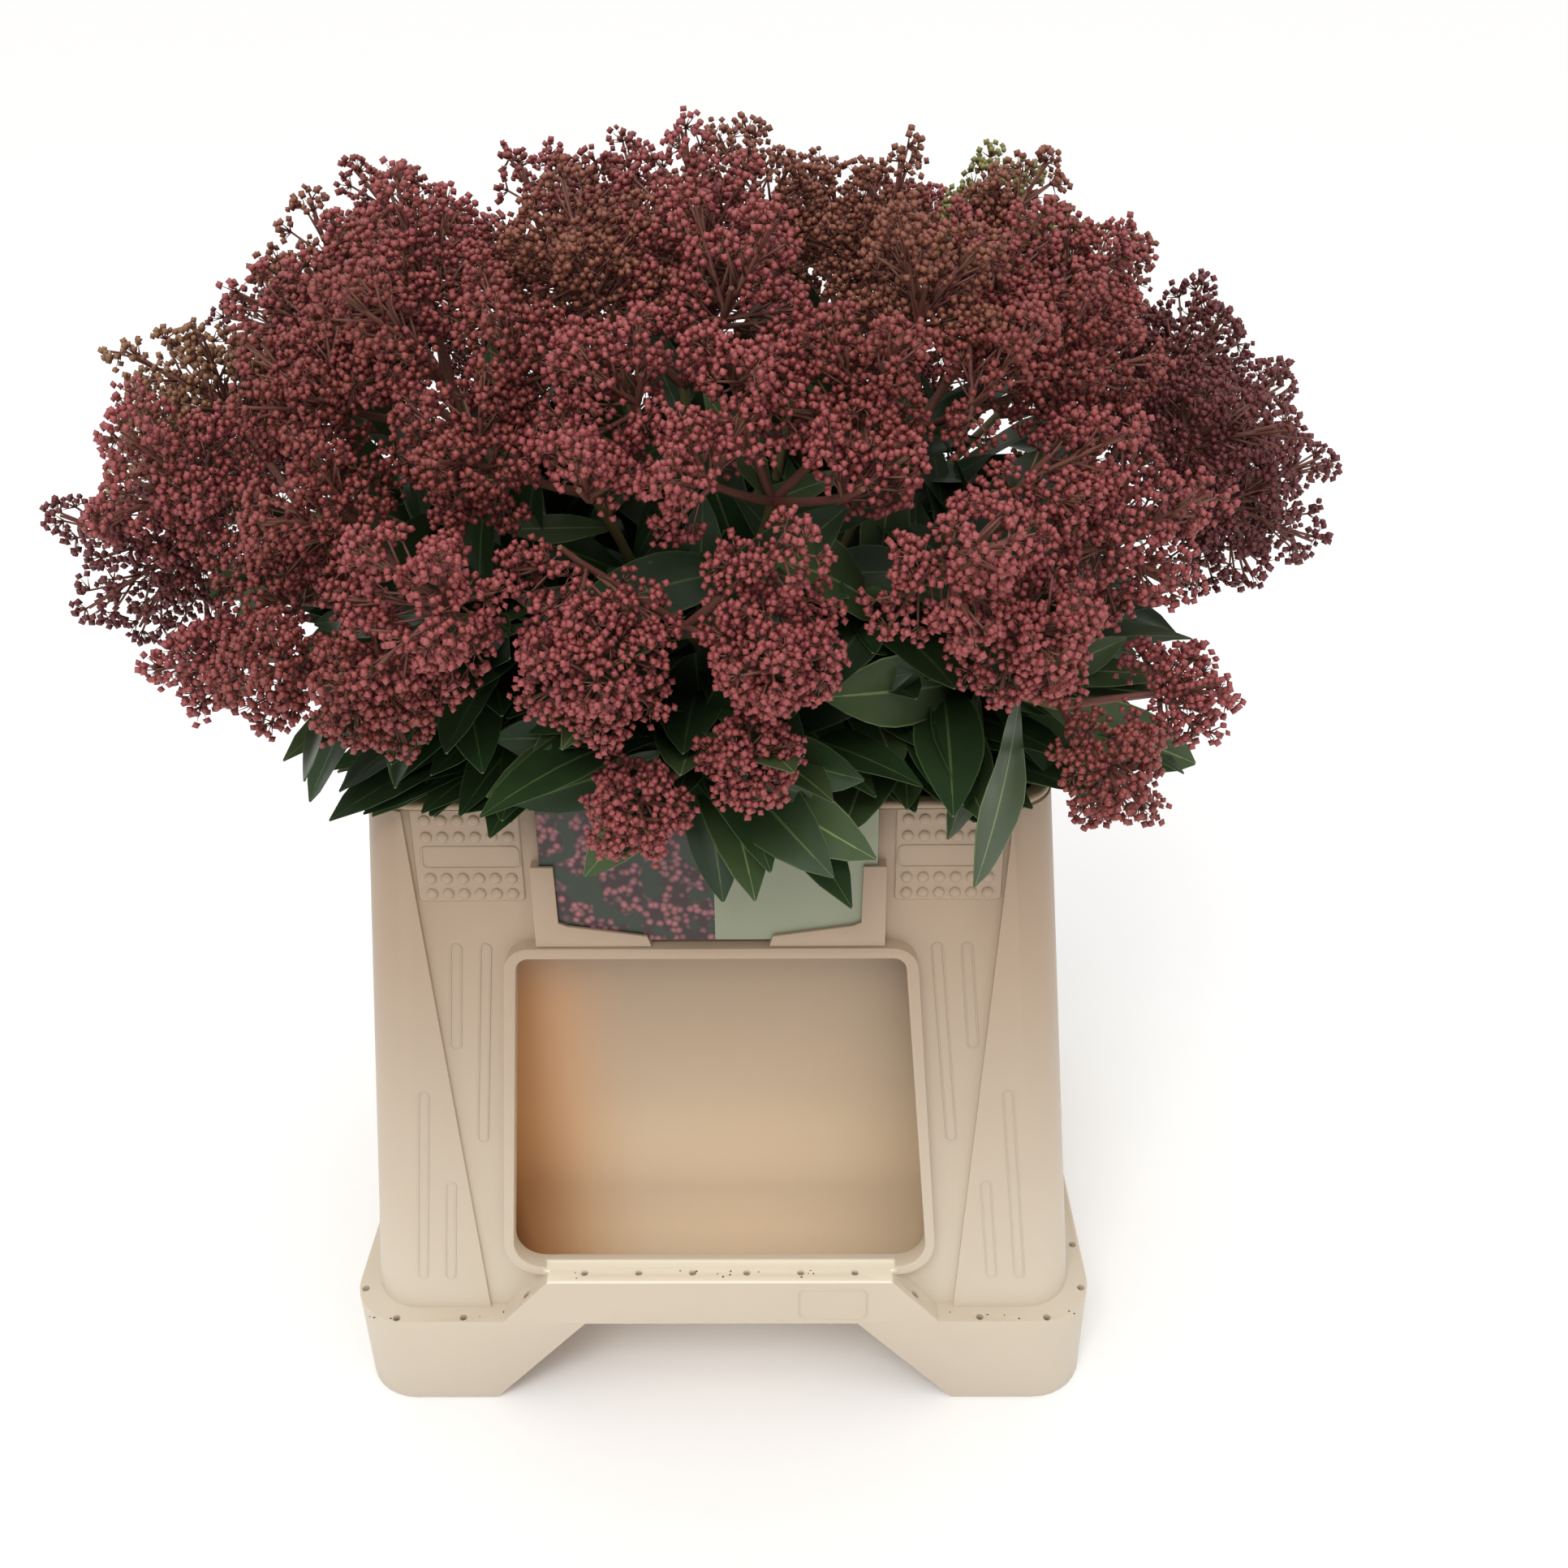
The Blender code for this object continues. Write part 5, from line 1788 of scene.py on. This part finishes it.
    def specks(self) -> Shell:
        """Grains of soil on the ledge and the shelf, each an eight-sided grain of its own size.

        Returns:
            The grains, in a shell of their own.
        """
        rng = np.random.default_rng(7)
        x = rng.uniform(-0.160, 0.160, self.grains)
        size = rng.uniform(0.00025, 0.00070, (self.grains, 3))
        top = np.where(np.abs(x) < 0.070, RAISED_TOP, SIZES.ledge)
        places = np.stack((x, rng.uniform(-0.1362, -0.1315, self.grains), top), axis=1)
        faces = np.array([(0, 1, 2), (1, 3, 2), (3, 4, 2), (4, 0, 2),
                          (1, 0, 5), (3, 1, 5), (4, 3, 5), (0, 4, 5)])
        shell = Shell()
        shell.add_many(np.vstack((np.eye(3), -np.eye(3))), faces, places,
                       np.tile(np.eye(3), (self.grains, 1, 1)), size)
        return shell

    def build(self, plastic: bpy.types.Material, grit: bpy.types.Material) -> bpy.types.Object:
        """Make the finished sleeve with softened edges, and the specks on its ledge.

        Args:
            plastic: the sleeve's material.
            grit: the specks' material.

        Returns:
            The piece.
        """
        top = SIZES.height - SIZES.flange - SIZES.room
        item = loft("bucket_sleeve_looks", self.walls(0.0, 0.0, SIZES.ledge, top))
        self.cut_and_join(item)
        bevel = item.modifiers.new("soft_edges", "BEVEL")
        bevel.width = self.soft_edge
        bevel.segments = 2
        bevel.limit_method = "ANGLE"
        bevel.angle_limit = CREASE
        bevel.harden_normals = False
        settle(item)
        self.add_marks()
        item.data.materials.clear()
        item.data.materials.append(plastic)
        parts = [item, self.marks.build("sleeve_marks", [plastic]), self.specks().build("specks", [grit])]
        with bpy.context.temp_override(active_object=item, selected_editable_objects=parts):
            bpy.ops.object.join()
        return dress(item, "bucket_sleeve")


@dataclass
class Tub:
    """Inner tub: a rolled rim, walls that draw in, and a floor."""

    foot_chamfer: float = 0.001
    rim_inset: float = 0.0004
    mouth_rounding: tuple = ((0.0, 0.0012), (0.0004, 0.0003), (0.0014, 0.0))
    floor_rounding: float = 0.003

    def levels(self) -> list:
        """Levels of one closed skin, from the floor's underside over the rim and in.

        Returns:
            Rows of height, half width, half depth and corner.
        """
        top, under, foot = SIZES.height, SIZES.height - SIZES.flange, SIZES.tub_foot
        rim = np.array((SIZES.sleeve_half(top, SIZES.width), SIZES.sleeve_half(top, SIZES.depth),
                        SIZES.body_corner))
        corner, roll = SIZES.body_corner - SIZES.wall, SIZES.flange / 2
        half_x, half_y = SIZES.tub_half_x, SIZES.tub_half_y
        low_x, low_y = half_x - SIZES.tub_taper, half_y - SIZES.tub_taper
        levels = [(foot, low_x - self.foot_chamfer, low_y - self.foot_chamfer, corner),
                  (foot + self.foot_chamfer, low_x, low_y, corner), (under, half_x, half_y, corner),
                  (under, rim[0] - self.rim_inset, rim[1] - self.rim_inset, SIZES.body_corner)]
        for angle in np.radians(np.linspace(-60, 60, 5)):
            levels.append((under + roll + roll * math.sin(angle), *(rim + roll * (math.cos(angle) - 1))))
        levels.append((top, *(rim - roll)))
        floor = foot + SIZES.tub_wall
        inner = corner - SIZES.tub_wall
        mouth = np.array((SIZES.tub_inside(top, half_x), SIZES.tub_inside(top, half_y), inner))
        levels += [(top - drop, *(mouth + grow)) for drop, grow in self.mouth_rounding]
        inside = np.array((SIZES.tub_inside(floor, half_x), SIZES.tub_inside(floor, half_y), inner))
        levels += [(floor + self.floor_rounding, *inside), (floor, *(inside - self.floor_rounding))]
        return levels

    def build(self, plastic: bpy.types.Material) -> bpy.types.Object:
        """Make the tub in its plastic.

        Args:
            plastic: its material.

        Returns:
            The piece.
        """
        item = loft("bucket_tub_looks", self.levels(), steps=10)
        item.data.materials.append(plastic)
        return dress(item, "bucket_tub")


CARD_FRONT = 0.0019
CARD_REAR = 0.0011


@dataclass
class Card:
    """Thin printed card in its holder: rose dots on the left, plain green on the right."""

    corner: float = 0.0012
    stretch: float = 2.13
    dot_scale: float = 21.0
    dot_ramp: tuple = (0.10, 0.62)
    patch_scale: float = 4.0
    patch_ramp: tuple = (0.44, 0.50)
    half_at: float = 0.515
    roughness: float = 0.32
    bloom: tuple = (0.42, 0.14, 0.15, 1.0)
    between: tuple = (0.035, 0.014, 0.015, 1.0)
    ground: tuple = (0.022, 0.034, 0.018, 1.0)

    def face_material(self) -> bpy.types.Material:
        """Printed face: dots of rose and plum over dark green on one half, sage on the other.

        Returns:
            The material, for the card's front.
        """
        material = bpy.data.materials.new("card_print")
        material.use_nodes = True
        material.node_tree.nodes["Principled BSDF"].inputs["Roughness"].default_value = self.roughness
        wiring = Wiring(material.node_tree)
        place = wiring.add("ShaderNodeTexCoord").outputs["UV"]
        stretched = {"Vector": place, "Scale": (self.stretch, 1.0, 1.0)}
        square = wiring.add("ShaderNodeMapping", stretched).outputs["Vector"]
        dots = wiring.add("ShaderNodeTexVoronoi", {"Vector": square, "Scale": self.dot_scale})
        patches = wiring.add("ShaderNodeTexNoise", {"Vector": square, "Scale": self.patch_scale})
        blooms = wiring.mix(wiring.ramp(dots.outputs["Distance"], *self.dot_ramp), self.bloom, self.between)
        dotted = wiring.mix(wiring.ramp(patches.outputs["Fac"], *self.patch_ramp), self.ground, blooms)
        right = wiring.math("GREATER_THAN", wiring.parts("UV")["X"], self.half_at)
        wiring.feed("Base Color", wiring.mix(right, dotted, (*CARD_BACK.base, 1.0)))
        return material

    def build(self, group: bpy.types.NodeTree) -> bpy.types.Object:
        """Make the card with softened corners, its face towards the viewer.

        Args:
            group: the mottle group.

        Returns:
            The piece.
        """
        height = CARD_TOP - CARD_FOOT
        outline = rounded_rectangle(CARD_HALF, height / 2, self.corner, 4)
        x, z = outline[:, 0], outline[:, 1] + (CARD_FOOT + CARD_TOP) / 2
        front, back = (np.stack((x, SIZES.face_y(z) - proud, z), axis=1)
                       for proud in (CARD_FRONT, CARD_REAR))
        uv = np.stack((x / (2 * CARD_HALF) + 0.5, (z - CARD_FOOT) / height), axis=1)
        around = np.arange(len(x))[None, :]
        shell = Shell()
        shell.add(front, around, uv=uv, material=0)
        shell.add(back, around[:, ::-1], uv=uv, material=1)
        shell.add(np.vstack((back, front)), ring_quads(2, len(x)), uv=np.tile(uv, (2, 1)), material=1)
        skins = [self.face_material(), CARD_BACK.material(group)]
        item = shell.build("label_card_looks", skins, smooth=False)
        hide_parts("label_card")
        return item


# The studio


@dataclass(frozen=True)
class Lamp:
    """A soft square light: its place, size and power."""

    name: str
    place: tuple
    size: float
    power: float


@dataclass
class Studio:
    """Pale floor, soft light and the camera at the photo's angle."""

    lamps: tuple = (Lamp("key", (-0.4, -1.5, 2.0), 0.8, 17.0),
                    Lamp("fill", (1.4, -1.4, 1.0), 1.6, 1.0))
    lamp_aim: tuple = (0.0, 0.0, 0.28)
    sky: tuple = (1.0, 0.995, 0.985, 1.0)
    sky_strength: tuple = (0.25, 1.45)
    floor_reach: float = 60.0
    floor_drop: float = 0.0005
    sensor: float = 36.0
    focal_share: float = 1845.7 / 1932.0
    camera_place: tuple = (0.0337, -0.6006, 0.5909)
    pitch: float = 0.5179
    yaw: float = 0.0080
    roll: float = 0.0076

    def add_lamp(self, lamp: Lamp) -> None:
        """Put in one area light turned towards the heads.

        Args:
            lamp: its sizes.
        """
        data = bpy.data.lights.new(lamp.name, "AREA")
        data.energy = lamp.power
        data.size = lamp.size
        item = bpy.data.objects.new(lamp.name, data)
        item.location = lamp.place
        toward = Vector(self.lamp_aim) - Vector(lamp.place)
        item.rotation_euler = toward.to_track_quat("-Z", "Y").to_euler()
        bpy.context.scene.collection.objects.link(item)

    def add_world(self) -> None:
        """Pale surroundings, brighter overhead than at the sides."""
        world = bpy.data.worlds.new("studio")
        world.use_nodes = True
        world.node_tree.nodes["Background"].inputs["Color"].default_value = self.sky
        wiring = Wiring(world.node_tree)
        low, high = self.sky_strength
        rise = {"Value": wiring.parts("Generated")["Z"], "To Min": low, "To Max": high}
        wiring.feed("Strength", wiring.add("ShaderNodeMapRange", rise).outputs["Result"], "Background")
        bpy.context.scene.world = world
        bpy.context.scene.view_settings.view_transform = "Standard"

    def add_floor(self, group: bpy.types.NodeTree) -> None:
        """Wide pale floor a hair under the bucket.

        Args:
            group: the mottle group.
        """
        corners = np.array(((-1, -1), (1, -1), (1, 1), (-1, 1))) * self.floor_reach
        shell = Shell()
        shell.add(at_height(corners, -self.floor_drop), np.arange(4)[None, :])
        floor = shell.build("floor", [FLOOR.material(group)], smooth=False)

    def add_camera(self) -> None:
        """Camera at the place, pitch, turn and roll worked out from the bucket's edges."""
        data = bpy.data.cameras.new("camera")
        data.sensor_width = self.sensor
        data.lens = self.focal_share * self.sensor
        camera = bpy.data.objects.new("camera", data)
        turn = Matrix.Rotation(self.yaw, 4, "Z") @ Matrix.Rotation(math.pi / 2 - self.pitch, 4, "X")
        turn = turn @ Matrix.Rotation(-self.roll, 4, "Z")
        camera.matrix_world = Matrix.Translation(Vector(self.camera_place) + Vector(AXIS)) @ turn
        bpy.context.scene.collection.objects.link(camera)
        bpy.context.scene.camera = camera

    def build(self, group: bpy.types.NodeTree) -> None:
        """Set up the whole studio.

        Args:
            group: the mottle group.
        """
        for lamp in self.lamps:
            self.add_lamp(lamp)
        self.add_world()
        self.add_floor(group)
        self.add_camera()


def main() -> None:
    """Make every piece, set it in the part's frame, and let it ride on the one body."""
    logging.basicConfig(level=logging.INFO, format="%(name)s %(message)s")
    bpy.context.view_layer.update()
    group = mottle_group()
    # Both plastics get painted shade and painted light by height and place.
    plastic = light_painted_material(PLASTIC, group, (SLEEVE_PAINTED_SHADE, LEDGE_PAINTED_LIGHT))
    tub_plastic = light_painted_material(TUB_PLASTIC, group, (SHADED_UPWARD, TUB_FOOT_PAINTED_LIGHT, TUB_PAINTED_WARM_SHADE))
    planting = Planting()
    pieces = [Sleeve().build(plastic, GRIT.material(group)), Tub().build(tub_plastic),
              Card().build(group), Stems(planting).build(group), *Crown(planting).build(group)]
    for item in pieces:
        item.data.transform(Matrix.Translation(Vector(AXIS)))
        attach(item, "root")
        LOG.info("%s rides on the body", item.name)
    Studio().build(group)


if __name__ == "__main__":
    main()
